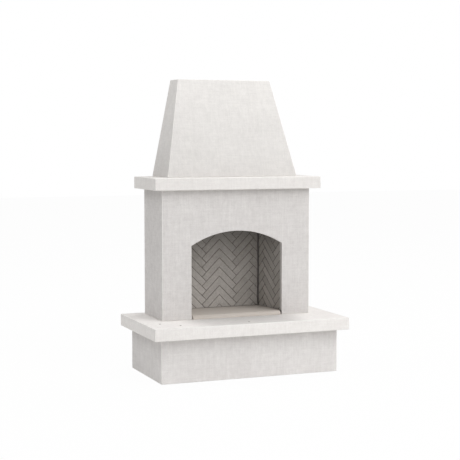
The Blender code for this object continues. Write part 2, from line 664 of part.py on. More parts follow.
def make_hearth_floor():
    """Refractory floor: a bullnose that runs out between the jambs, and wings under the side panels."""
    nose = OPENING_WIDTH / 2 - FLOOR_SIDE_GAP
    wing = SIDE_FRAME_X - FIT
    front, shoulder = BODY_FRONT - FLOOR_NOSE, BODY_REAR_FACE + FIT
    back = BACK - REAR_COVER_THICKNESS - FIT
    outline = [(-nose, front), (nose, front), (nose, shoulder), (wing, shoulder), (wing, back),
               (-wing, back), (-wing, shoulder), (-nose, shoulder)]
    low, high = SLAB_TOP + FIT, FLOOR_TOP
    floor = flat_shape("hearth_floor", [outline], low, high)
    bm = bmesh.new()
    bm.from_mesh(floor.data)
    lip = [edge for edge in bm.edges
           if all(abs(vert.co.y - front) < FIT and abs(vert.co.z - high) < FIT for vert in edge.verts)]
    bmesh.ops.bevel(bm, geom=lip, offset=FLOOR_NOSE_RADIUS, segments=FLOOR_NOSE_STEPS, profile=0.5,
                    affect="EDGES", material=-1)
    bm.to_mesh(floor.data)
    bm.free()
    link_part(floor, "hearth_tile")


def brick_of_cell(i, j):
    """Which brick of the herringbone holds the half-brick cell (i, j): its kind and its lattice step.

    Bricks of the first kind run along i, those of the second along j. The lattice repeats by
    (wide, wide) and (long, -long).
    """
    long, wide = BRICK_LONG_COUNT, BRICK_WIDE_COUNT
    reach = (abs(i) + abs(j)) // long + 2
    for across in range(-reach, reach + 1):
        up = (j + long * across) // wide
        if 0 <= i - wide * up - long * across < long:
            return "first", up, across
        up = (i - long * across - long) // wide
        if 0 <= j - wide * up + long * across + long - wide < long:
            return "second", up, across
    return None


def brick_grid(width, height, apex_x, apex_z):
    """Sheet of half-brick cells turned by 45 degrees, trimmed to the panel and joined into bricks."""
    cell = BRICK_PITCH / BRICK_WIDE_COUNT
    count = 2 * math.ceil((width + height) / cell)
    peak = Vector((BRICK_LONG_COUNT + BRICK_WIDE_COUNT, BRICK_WIDE_COUNT, 0)) * cell
    turn = Matrix.Rotation(BRICK_TURN, 4, "Z")
    place = Matrix.Translation((apex_x, apex_z, 0)) @ turn @ Matrix.Translation(-peak)
    bm = bmesh.new()
    bmesh.ops.create_grid(bm, x_segments=count, y_segments=count, size=count * cell / 2)
    bmesh.ops.transform(bm, matrix=place, verts=bm.verts)
    sides = (((0, 0), (-1, 0)), ((width, 0), (1, 0)), ((0, 0), (0, -1)), ((0, height), (0, 1)))
    for (x, z), (nx, nz) in sides:
        bmesh.ops.bisect_plane(bm, geom=bm.verts[:] + bm.edges[:] + bm.faces[:], dist=FIT / 10,
                               plane_co=(x, z, 0), plane_no=(nx, nz, 0), clear_outer=True)
    back = place.inverted()
    bricks = {}
    for face in bm.faces:
        where = back @ face.calc_center_median()
        key = brick_of_cell(math.floor(where.x / cell), math.floor(where.y / cell))
        bricks.setdefault(key, []).append(face)
    for faces in bricks.values():
        if len(faces) > 1:
            bmesh.ops.dissolve_faces(bm, faces=faces, use_verts=False)
    straight = [vert for vert in bm.verts if len(vert.link_edges) == 2
                and vert.calc_edge_angle(0) < STRAIGHT_LIMIT]
    bmesh.ops.dissolve_verts(bm, verts=straight)
    return bm


def raise_bricks(bm):
    """Lift each brick out of the mortar; slivers at the panel's edge stay mortar.

    A thin first inset gives each brick its own outline. The points where a neighbour's corner met it come
    out of that outline, because the second inset would fold where such a point is close to a corner.
    """
    whole = [face for face in bm.faces
             if 2 * face.calc_area() / face.calc_perimeter() > WHOLE_BRICK_LIMIT]
    bmesh.ops.inset_individual(bm, faces=whole, thickness=BRICK_OUTLINE, use_even_offset=True)
    spokes = [edge for face in whole for corner in face.loops
              if corner.calc_angle() > math.pi - STRAIGHT_LIMIT
              for edge in corner.vert.link_edges if face not in edge.link_faces]
    bmesh.ops.dissolve_edges(bm, edges=spokes, use_verts=True)
    bmesh.ops.inset_individual(bm, faces=whole, thickness=BRICK_JOINT / 2 - BRICK_OUTLINE,
                               depth=BRICK_RELIEF, use_even_offset=True)


def herringbone_panel(name, width, apex_x, place):
    """Cast panel: bricks in relief on its face, which looks along local -Y, over a plain back."""
    bm = brick_grid(width, PANEL_HEIGHT, apex_x, REAR_APEX_RISE)
    bmesh.ops.recalc_face_normals(bm, faces=bm.faces)
    if bm.faces[:][0].normal.z < 0:
        bmesh.ops.reverse_faces(bm, faces=bm.faces)
    raise_bricks(bm)
    rim = [edge for edge in bm.edges if edge.is_boundary]
    grown = bmesh.ops.extrude_edge_only(bm, edges=rim)["geom"]
    back = [item for item in grown if isinstance(item, bmesh.types.BMVert)]
    bmesh.ops.translate(bm, vec=(0, 0, BRICK_RELIEF - PANEL_THICKNESS), verts=back)
    loop = [item for item in grown if isinstance(item, bmesh.types.BMEdge)]
    bmesh.ops.edgeloop_fill(bm, edges=loop)
    lift = Matrix.Translation((0, BRICK_RELIEF, 0))
    bmesh.ops.transform(bm, matrix=place @ lift @ ALONG_Y, verts=bm.verts)
    link_part(to_object(name, bm), "refractory")


def side_panel_places():
    """Length of a splayed side panel, and the placing of the right and the left one."""
    along = Vector((math.sin(SPLAY), -math.cos(SPLAY), 0))
    start = Vector((FIREBOX_REAR_WIDTH / 2, PANEL_FACE, 0)) + PANEL_CORNER_SLOT * along
    length = (start.y - BODY_REAR_FACE - FIT) / math.cos(SPLAY) - PANEL_THICKNESS * math.tan(SPLAY)
    right = Matrix.Translation(start) @ Matrix.Rotation(SPLAY - QUARTER_TURN, 4, "Z")
    end = start + length * along
    left = Matrix.Translation((-end.x, end.y, 0)) @ Matrix.Rotation(QUARTER_TURN - SPLAY, 4, "Z")
    return length, right, left


def make_firebox_lining():
    up = Matrix.Translation((0, 0, PANEL_BOTTOM))
    rear_width = FIREBOX_REAR_WIDTH - 2 * FIT
    herringbone_panel("rear_brick_panel", rear_width, rear_width / 2,
                      Matrix.Translation((-rear_width / 2, PANEL_FACE, 0)) @ up)
    length, right, left = side_panel_places()
    apex = SIDE_APEX_SETBACK - PANEL_CORNER_SLOT
    herringbone_panel("right_brick_panel", length, apex, right @ up)
    herringbone_panel("left_brick_panel", length, length - apex, left @ up)
    make_insulation(length, right, left, up)


def make_insulation(length, right, left, up):
    """Insulating boards behind the three brick panels."""
    near, far = PANEL_THICKNESS + FIT, PANEL_THICKNESS + FIT + INSULATION_THICKNESS
    half = FIREBOX_REAR_WIDTH / 2
    rear = block("rear_insulation", (-half, near, 0), (half, far, PANEL_HEIGHT), ARRIS)
    rear.data.transform(Matrix.Translation((0, PANEL_FACE, 0)) @ up)
    link_part(rear, "insulation")
    trim = INSULATION_THICKNESS
    for name, place, start in (("right_insulation", right, 0), ("left_insulation", left, trim)):
        board = block(name, (start, near, 0), (start + length - trim, far, PANEL_HEIGHT), ARRIS)
        board.data.transform(place @ up)
        link_part(board, "insulation")


def make_side_frames():
    """Ladder frames beside the firebox that carry the body's top return."""
    front, back = BODY_REAR_FACE + FIT, BACK - REAR_COVER_THICKNESS - FIT
    low, high = SLAB_TOP + FIT, BODY_TOP - BODY_FLANGE_HEIGHT - FIT
    middle = (low + high) / 2
    rail = SIDE_FRAME_RAIL
    windows = [rectangle(front + rail, low + rail, back - rail, middle - rail / 2),
               rectangle(front + rail, middle + rail / 2, back - rail, high - rail)]
    outlines = [rectangle(front, low, back, high)] + windows
    for name, x in (("left_side_frame", -SIDE_FRAME_X - rail), ("right_side_frame", SIDE_FRAME_X)):
        frame = flat_shape(name, outlines, x, x + rail, ACROSS_X)
        for index, (sx, sz) in enumerate(cover_screw_places()):
            if x < sx < x + rail:
                cut(frame, rod(f"{name}_hole_{index + 1}", SCREW_RADIUS + FIT,
                               (sx, back - rail / 2 - RUN_CLEARANCE, sz), (sx, back + OVERRUN, sz),
                               SMALL_ROUND_SIDES))
        link_part(frame, "galvanised")


def make_angles():
    """Lintel behind the front wall and ledger before the rear cover: two lengths of steel angle."""
    half = SIDE_FRAME_X - FIT
    low, high = ANGLE_BOTTOM, ANGLE_BOTTOM + ANGLE_LEG
    for name, wall, inward in (("lintel_angle", BODY_REAR_FACE + FIT, 1),
                               ("ledger_angle", BACK - REAR_COVER_THICKNESS - FIT, -1)):
        thick, leg = inward * ANGLE_THICKNESS, inward * ANGLE_LEG
        outline = [(wall, low), (wall + leg, low), (wall + leg, low + ANGLE_THICKNESS),
                   (wall + thick, low + ANGLE_THICKNESS), (wall + thick, high), (wall, high)]
        link_part(flat_shape(name, [outline], -half, half, ACROSS_X), "black_steel")


def make_throat_frame():
    """Cast plate over the firebox with the throat slot, and two ears that hold the hinge rod."""
    half, slot = THROAT_HALF, THROAT_WIDTH / 2
    outlines = [rectangle(-half, THROAT_FRONT, half, THROAT_BACK),
                rectangle(-slot, THROAT_HOLE_FRONT, slot, THROAT_HOLE_BACK)]
    plate = flat_shape("damper_frame", outlines, THROAT_BOTTOM, THROAT_TOP)
    for side in (-1, 1):
        inner = side * (slot + DAMPER_LAP + RUN_CLEARANCE)
        outer = inner + side * EAR_WIDTH
        ear = block(f"damper_ear_{'left' if side < 0 else 'right'}",
                    (min(inner, outer), ROD_Y - EAR_DEPTH / 2, THROAT_TOP - THROAT_FRAME_THICKNESS / 2),
                    (max(inner, outer), ROD_Y + EAR_DEPTH / 2, ROD_Z + 2 * HINGE_ROD_RADIUS))
        weld_on(plate, ear)
    reach = slot + DAMPER_LAP + RUN_CLEARANCE + EAR_WIDTH
    cut(plate, rod("damper_ear_bore", HINGE_ROD_RADIUS + FIT, (-reach - OVERRUN, ROD_Y, ROD_Z),
                   (reach + OVERRUN, ROD_Y, ROD_Z), SMALL_ROUND_SIDES))
    link_part(plate, "cast_iron")
    link_part(rod("damper_hinge_rod", HINGE_ROD_RADIUS, (-reach, ROD_Y, ROD_Z), (reach, ROD_Y, ROD_Z),
                  SMALL_ROUND_SIDES), "black_steel", True)


def pivot_empty(name, place, parent=None):
    """An empty on a joint's axis: the pieces that turn with it are its children."""
    empty = bpy.data.objects.new(name, None)
    PARTS.objects.link(empty)
    empty.location = Vector(place) - (parent.location if parent else Vector())
    empty.parent = parent
    return empty


def hang_on(empty, origin, obj):
    """Parent a piece modelled in world places to the empty at its joint."""
    obj.data.transform(Matrix.Translation(-Vector(origin)))
    obj.parent = empty


def make_damper():
    """Flap over the throat with ribs, knuckles and a lug, and the notched arm that hangs from it."""
    half = THROAT_WIDTH / 2 + DAMPER_LAP
    low = THROAT_TOP + FIT
    front = THROAT_HOLE_FRONT - DAMPER_LAP
    axis = (0, ROD_Y, ROD_Z)
    hinge = pivot_empty("damper_hinge", axis)
    flap = block("damper_plate", (-half, front, low), (half, ROD_Y, low + DAMPER_THICKNESS))
    rib_reach = KNUCKLE_RADIUS + RUN_CLEARANCE
    for index, share in enumerate(DAMPER_RIB_SHARES):
        x = share * half
        weld_on(flap, block(f"damper_rib_{index + 1}",
                            (x - DAMPER_RIB / 2, front + DAMPER_LAP, low + DAMPER_THICKNESS / 2),
                            (x + DAMPER_RIB / 2, ROD_Y - rib_reach, low + DAMPER_THICKNESS + DAMPER_RIB)))
    pin_z = low - LUG_DROP / 2
    lug_x = -THROAT_WIDTH / 2 + ARM_SETIN
    lug_y = THROAT_HOLE_FRONT + LUG_DEPTH
    lug = block("damper_lug", (lug_x - LUG_THICKNESS, lug_y - LUG_DEPTH / 2, low - LUG_DROP),
                (lug_x, lug_y + LUG_DEPTH / 2, low + DAMPER_THICKNESS / 2))
    knuckles = [rod(f"damper_knuckle_{index + 1}", KNUCKLE_RADIUS, (x - KNUCKLE_LENGTH / 2, ROD_Y, ROD_Z),
                    (x + KNUCKLE_LENGTH / 2, ROD_Y, ROD_Z), SMALL_ROUND_SIDES)
                for index, x in enumerate((-half / 2, half / 2))]
    weld_on(flap, lug, *knuckles)
    cut(flap, rod("damper_bore", HINGE_ROD_RADIUS + FIT, (-half - OVERRUN, ROD_Y, ROD_Z),
                  (half + OVERRUN, ROD_Y, ROD_Z), SMALL_ROUND_SIDES),
        rod("damper_lug_bore", ARM_PIN_RADIUS + FIT, (lug_x - OVERRUN, lug_y, pin_z),
            (lug_x + OVERRUN, lug_y, pin_z), SMALL_ROUND_SIDES))
    link_part(flap, "cast_iron")
    pivot = (lug_x, lug_y, pin_z)
    arm_pivot = pivot_empty("damper_arm_pivot", pivot, hinge)
    make_arm(arm_pivot, pivot)
    seat_on_hinge(flap, hinge, axis)


def seat_on_hinge(flap, hinge, axis):
    """Carry the flap, with the cutters that shape it, on the empty at the hinge."""
    hang_on(hinge, axis, flap)
    for modifier in flap.modifiers:
        tool = modifier.object
        tool.data.transform(Matrix.Translation(-Vector(axis)))
        tool.parent = hinge


def arm_outline(y, top):
    """Side view of the arm: round head, notches down its front edge, and a round eye at its foot."""
    half = ARM_WIDTH / 2
    points = []
    for step in range(ARM_HEAD_STEPS + 1):
        angle = math.pi * step / ARM_HEAD_STEPS
        points.append((y + half * math.cos(angle), top + half * math.sin(angle)))
    run = ARM_LENGTH - ARM_WIDTH
    for index in range(ARM_NOTCH_COUNT):
        z = top - run * (index + 1) / (ARM_NOTCH_COUNT + 1)
        points += [(y - half, z + ARM_NOTCH), (y - half + ARM_NOTCH, z), (y - half, z)]
    eye = top - ARM_LENGTH
    join = math.asin(half / ARM_EYE_RADIUS)
    for step in range(ARM_EYE_STEPS + 1):
        angle = QUARTER_TURN + join + 2 * (math.pi - join) * step / ARM_EYE_STEPS
        points.append((y + ARM_EYE_RADIUS * math.cos(angle), eye + ARM_EYE_RADIUS * math.sin(angle)))
    return points


def circle(cx, cy, radius, sides):
    turns = [2 * math.pi * step / sides for step in range(sides)]
    return [(cx + radius * math.cos(turn), cy + radius * math.sin(turn)) for turn in turns]


def make_arm(arm_pivot, pivot):
    x, y, z = pivot
    left = x + FIT
    outlines = [arm_outline(y, z), circle(y, z, ARM_PIN_RADIUS + FIT, SMALL_ROUND_SIDES),
                circle(y, z - ARM_LENGTH, ARM_EYE_HOLE_RADIUS, SMALL_ROUND_SIDES)]
    arm = flat_shape("damper_arm", outlines, left, left + ARM_THICKNESS, ACROSS_X)
    hang_on(arm_pivot, pivot, arm)
    link_part(arm, "black_steel")
    pin = turned("damper_arm_pin", [(ARM_PIN_HEAD_RADIUS, 0), (ARM_PIN_HEAD_RADIUS, ARM_PIN_HEAD)],
                 ARM_PIN_RADIUS, -LUG_THICKNESS - ARM_THICKNESS - 2 * FIT, SMALL_ROUND_SIDES)
    seat = Matrix.Translation((left + ARM_THICKNESS + FIT, y, z))
    pin.data.transform(seat @ Matrix.Rotation(QUARTER_TURN, 4, "Y"))
    hang_on(arm_pivot.parent, arm_pivot.parent.location, pin)
    link_part(pin, "black_steel", True)


def make_dome():
    """Folded sheet hood from the throat plate up to the flue: lip, upright skirt, slope and collar.

    Its oblong sections run up the outer face and back down the inner one, each joined to the next.
    """
    half = THROAT_WIDTH / 2 + DAMPER_LAP + RUN_CLEARANCE + EAR_WIDTH + DOME_MARGIN
    front = THROAT_HOLE_FRONT - DAMPER_LAP - DOME_MARGIN
    back = THROAT_BACK - DOME_LIP
    sheet = DOME_SHEET
    collar = FLUE_SHEET + FIT + (FLUE_CORNER - FLUE_SHEET) * (1 - math.sqrt(0.5))
    skirt_top, collar_top = DOME_BOTTOM + DOME_SKIRT, DOME_SHOULDER + DOME_COLLAR

    def around_throat(grow, z):
        return -half - grow, front - grow, half + grow, back + grow, z

    def around_flue(grow, z):
        return *flue_hole_bounds(grow), z

    levels = (around_throat(DOME_LIP, DOME_BOTTOM), around_throat(DOME_LIP, DOME_BOTTOM + sheet),
              around_throat(0, DOME_BOTTOM + sheet), around_throat(0, skirt_top),
              around_flue(0, DOME_SHOULDER), around_flue(-collar, DOME_SHOULDER),
              around_flue(-collar, collar_top), around_flue(-collar - sheet, collar_top),
              around_flue(-collar - sheet, DOME_SHOULDER - sheet),
              around_flue(-sheet, DOME_SHOULDER - sheet),
              around_throat(-sheet, skirt_top), around_throat(-sheet, DOME_BOTTOM))
    bm = bmesh.new()
    sections = [[bm.verts.new((x, y, z)) for x, y in rectangle(*bounds)] for *bounds, z in levels]
    for near, far in zip(sections, sections[1:] + sections[:1]):
        for corner in range(len(near)):
            bm.faces.new((near[corner - 1], near[corner], far[corner], far[corner - 1]))
    link_part(to_object("smoke_dome", bm), "galvanised")


def duct_outlines(outer_margin, sheet):
    outer = flue_hole_bounds(outer_margin)
    inner = flue_hole_bounds(outer_margin - sheet)
    radius = FLUE_CORNER + outer_margin
    return [rounded_rectangle(*outer, radius), rounded_rectangle(*inner, radius - sheet)]


def make_flue():
    """Oblong liner in two lengths with a band over their joint, a firestop and the pan at the head."""
    liner = duct_outlines(0, FLUE_SHEET)
    link_part(flat_shape("lower_flue_liner", liner, LINER_BOTTOM, LINER_JOINT - FIT), "stainless")
    link_part(flat_shape("upper_flue_liner", liner, LINER_JOINT, LINER_TOP), "stainless")
    band = duct_outlines(FIT + FLUE_SHEET, FLUE_SHEET)
    link_part(flat_shape("flue_joint_band", band, LINER_JOINT - BAND_HEIGHT / 2,
                         LINER_JOINT + BAND_HEIGHT / 2), "stainless")
    hole = duct_outlines(FIT, FLUE_SHEET)[0]
    x0, y0, x1, _ = flue_hole_bounds(FIRESTOP_MARGIN)
    stop = rectangle(x0, y0, x1, HOOD_BACK - HOOD_WALL - FIT)
    low = MANTEL_TOP + FIT
    link_part(flat_shape("flue_firestop", [stop, hole], low, low + SHEET_PLATE), "galvanised")
    pan_half, pan_front, pan_back = hood_section(PAN_TOP, HOOD_WALL + FIT)
    link_part(flat_shape("chimney_top_pan", [rectangle(-pan_half, pan_front, pan_half, pan_back), hole],
                         PAN_BOTTOM, PAN_TOP), "stainless")
    link_part(flat_shape("storm_collar", duct_outlines(FIT + FLUE_SHEET, FLUE_SHEET), PAN_TOP + FIT,
                         PAN_TOP + FIT + COLLAR_HEIGHT), "stainless")


def screen_panel(name, bays, start, end, low):
    """Flat grille of crossed wires: a grid between two plan points, its edges made into wires."""
    bm = bmesh.new()
    grid = bmesh.ops.create_grid(bm, x_segments=bays, y_segments=SCREEN_ROW_COUNT, size=1)["verts"]
    for vert in grid:
        share, rise = (vert.co.x + 1) / 2, (vert.co.y + 1) / 2
        x, y = (a + (b - a) * share for a, b in zip(start, end))
        vert.co = (x, y, low + rise * SCREEN_HEIGHT)
    screen = to_object(name, bm)
    wires = screen.modifiers.new("wires", "WIREFRAME")
    wires.thickness = SCREEN_WIRE
    wires.use_boundary = True
    wires.use_even_offset = True
    link_part(screen, "stainless")


def make_screen_and_cap():
    """Spark screen of four grilles round the liner's head, under a hipped rain cap."""
    x0, y0, x1, y1 = flue_hole_bounds(SCREEN_WIRE / 2 + FIT)
    low = LINER_TOP - SCREEN_LAP
    front, back = y0 + SCREEN_WIRE + FIT, y1 - SCREEN_WIRE - FIT
    screen_panel("spark_screen_front", SCREEN_LONG_COUNT, (x0, y0), (x1, y0), low)
    screen_panel("spark_screen_back", SCREEN_LONG_COUNT, (x0, y1), (x1, y1), low)
    screen_panel("spark_screen_left", SCREEN_SHORT_COUNT, (x0, front), (x0, back), low)
    screen_panel("spark_screen_right", SCREEN_SHORT_COUNT, (x1, front), (x1, back), low)
    make_cap(low + SCREEN_HEIGHT + SCREEN_WIRE / 2 + FIT)


def make_cap(low):
    """Sheet with a flat eave on the screen's top wires, inset and drawn up into a hipped ridge."""
    x0, y0, x1, y1 = flue_hole_bounds(CAP_EAVE)
    bm = bmesh.new()
    sheet = bm.faces.new([bm.verts.new((x, y, low)) for x, y in rectangle(x0, y0, x1, y1)])
    sheet.normal_update()
    bmesh.ops.inset_region(bm, faces=[sheet], thickness=CAP_EAVE + SCREEN_WIRE, use_boundary=True,
                           use_even_offset=True)
    slope = (y1 - y0) / 2 - CAP_EAVE - SCREEN_WIRE - CAP_RIDGE / 2
    bmesh.ops.inset_region(bm, faces=[sheet], thickness=slope, use_even_offset=True)
    bmesh.ops.translate(bm, vec=(0, 0, CAP_RISE), verts=sheet.verts)
    cap = to_object("rain_cap", bm, outward=False)
    sheet = cap.modifiers.new("sheet", "SOLIDIFY")
    sheet.thickness = SHEET_PLATE
    sheet.offset = 1
    link_part(cap, "stainless")


clear_scene()
PARTS = new_collection("outdoor_fireplace")
CUTTERS = new_collection("cutters")
make_base()
make_base_frame()
make_hearth_slab()
make_body()
make_cover_screws()
make_seals()
make_mantel()
make_hood()
make_hearth_floor()
make_firebox_lining()
make_side_frames()
make_angles()
make_throat_frame()
make_damper()
make_dome()
make_flue()
make_screen_and_cap()
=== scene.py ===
# %% [markdown]
# # An outdoor fireplace of cast concrete
#
# The imported CAD model is a fixed frame in metres, +Z up, with the firebox open towards -Y. This script
# dresses it: it gives each casting the soft edges and the rubbed face that wet-cast concrete has, lays the
# herringbone brick of the firebox again with rounded bricks, and finishes the steel inside. Nothing of the
# frame is moved. A new piece is laid in the place of a CAD node, which is hidden, two strips of tape are
# added, and every other node stays as it is and only gets a better material.

# %% Load the frame
import json
import math
import random

import bmesh
import bpy
from mathutils import Matrix, Vector


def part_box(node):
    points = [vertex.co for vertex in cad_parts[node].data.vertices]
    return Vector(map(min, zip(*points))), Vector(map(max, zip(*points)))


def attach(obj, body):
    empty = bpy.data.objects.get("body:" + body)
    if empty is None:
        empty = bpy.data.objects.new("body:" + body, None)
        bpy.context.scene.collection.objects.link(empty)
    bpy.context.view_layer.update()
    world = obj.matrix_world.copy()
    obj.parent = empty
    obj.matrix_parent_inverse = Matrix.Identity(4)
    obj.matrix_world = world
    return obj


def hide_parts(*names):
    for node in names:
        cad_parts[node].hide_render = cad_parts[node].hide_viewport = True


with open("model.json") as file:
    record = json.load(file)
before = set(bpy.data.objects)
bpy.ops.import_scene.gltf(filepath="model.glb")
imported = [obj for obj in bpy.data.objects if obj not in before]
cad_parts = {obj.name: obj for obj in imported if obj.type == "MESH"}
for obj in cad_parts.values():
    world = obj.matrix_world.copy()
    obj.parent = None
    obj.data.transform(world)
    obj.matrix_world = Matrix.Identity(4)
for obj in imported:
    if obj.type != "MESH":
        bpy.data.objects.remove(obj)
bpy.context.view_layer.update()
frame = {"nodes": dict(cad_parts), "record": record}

node_slot = {part["node"]: part["material_slot"] for part in frame["record"]["subparts"]}

# %% [markdown]
# ## The camera
#
# A product photo is easiest to match when the camera stands where the photographer's stood. The corners of
# the slabs were measured in the picture and a camera was fitted to them, so its place, its turn and its
# focal length are known numbers: metres, radians and pixels. The focal length comes out in pixels of the
# picture, and Blender wants millimetres on a sensor, so one is turned into the other.

# %% Camera
CAMERA_PLACE = (-3.8025, -9.34994, 1.94991)
CAMERA_TURN, CAMERA_DIP = 0.383131, 0.076065
FOCAL_PIXELS, PICTURE_PIXELS, SENSOR_MM = 1208.51, 460, 36.0

lens = bpy.data.cameras.new("photo_camera")
lens.sensor_width = SENSOR_MM
lens.lens = FOCAL_PIXELS / PICTURE_PIXELS * SENSOR_MM
camera = bpy.data.objects.new("photo_camera", lens)
camera.location = CAMERA_PLACE
camera.rotation_euler = (math.pi / 2 - CAMERA_DIP, 0, -CAMERA_TURN)
bpy.context.scene.collection.objects.link(camera)
bpy.context.scene.camera = camera
print("lens", round(lens.lens, 2), "mm")

# %% [markdown]
# ## Tools for materials
#
# A material is a chain of nodes, and most of what a material script says is "this node, these numbers,
# these links". One small function that does all three keeps a recipe readable. Colours are picked as sRGB
# hex values, as from a paint chart, but light adds up in linear values, so one function turns them over.

# %% Material helpers
INCH = 0.0254
MM = 0.001


def srgb(code):
    """Linear colour of an sRGB hex code."""
    parts = [int(code[i:i + 2], 16) / 255 for i in (1, 3, 5)]
    return (*[p / 12.92 if p <= 0.04045 else ((p + 0.055) / 1.055) ** 2.4 for p in parts], 1.0)


def add(tree, kind, inputs, **settings):
    """Add a node, set its properties, and fill or link its inputs by name or number."""
    node = tree.nodes.new(kind)
    for name, value in settings.items():
        setattr(node, name, value)
    for name, value in inputs.items():
        if isinstance(value, bpy.types.NodeSocket):
            tree.links.new(value, node.inputs[name])
        else:
            node.inputs[name].default_value = value
    return node


def start_material(name, **shader_values):
    """A new material, its node tree, its shader and the object coordinates that its patterns read."""
    material = bpy.data.materials.new(name)
    material.use_nodes = True
    tree = material.node_tree
    shader = tree.nodes["Principled BSDF"]
    for socket, value in shader_values.items():
        shader.inputs[socket.replace("_", " ")].default_value = value
    place = add(tree, "ShaderNodeTexCoord", {}).outputs["Object"]
    return material, tree, shader, place


# %% [markdown]
# ## Cast concrete
#
# Wet-cast concrete is poured into a smooth mould, and its face is rubbed down with a sack while it cures.
# That leaves faint strokes up and along the face like coarse linen, specks, blotches and clouds from a
# centimetre to a foot wide where the cement settled, and pinholes where air sat against the mould. Each
# layer is a noise with its own size in millimetres and its own weight, and a loop adds them up. A stroke is
# a noise whose coordinates are squeezed across and drawn out along. Real strokes are a millimetre wide;
# these are drawn twelve, and wider still on the side faces, or they would vanish at this distance. The
# grain of the face is too fine to draw, so it is only felt, through the bump.
#
# The castings are mixed in slightly different tones: the wall's mix is the greyest and the slab's the
# palest.
# A factor that follows the height darkens them further, and this is painted shade: the hood at its foot,
# over the shelf, the plinth under the slab, and the wall in a narrow band under the shelf. The slab's top
# is darker before the opening, a painted shade that lies on faces that look up. The arrises get a paler mix
# of their own, which is a painted highlight along every edge.

# %% Cast concrete material
STROKE_WIDTH, SIDE_STROKE_WIDTH, STROKE_LENGTH = 12 * MM, 34 * MM, 130 * MM
CLOUD_WIDTH, BLOTCH_WIDTH, SPECK_WIDTH = 330 * MM, 42 * MM, 9 * MM
PINHOLE_SPACING, GRAIN_WIDTH, SHELF_SHADE_BAND = 46 * MM, 1.6 * MM, 55 * MM
SACK_LAYERS = (((STROKE_WIDTH, SIDE_STROKE_WIDTH, STROKE_LENGTH), 0.32),
               ((STROKE_LENGTH, STROKE_LENGTH, STROKE_WIDTH), 0.28),
               ((BLOTCH_WIDTH, BLOTCH_WIDTH, BLOTCH_WIDTH), 0.38),
               ((CLOUD_WIDTH, CLOUD_WIDTH, CLOUD_WIDTH), 0.30),
               ((SPECK_WIDTH, SPECK_WIDTH, SPECK_WIDTH), 0.36))
LAYER_DETAIL, LAYER_ROUGHNESS = 2.5, 0.55
TONE_SPREAD, PAINTED_SHADE_TONE, OPENING_SHADE_TONE = 0.45, 0.87, 0.83
OPENING_SHADE_CORE_SHARE, OPENING_SHADE_RIM_SHARE = 0.8, 1.3
PINHOLE_CORE_SHARE, PINHOLE_RIM_SHARE, PINHOLE_TONE = 0.02, 0.05, 0.75
GRAIN_SHARE, PINHOLE_SINK, FACE_RELIEF, FACE_BUMP = 0.5, 4.0, 0.5 * MM, 0.25


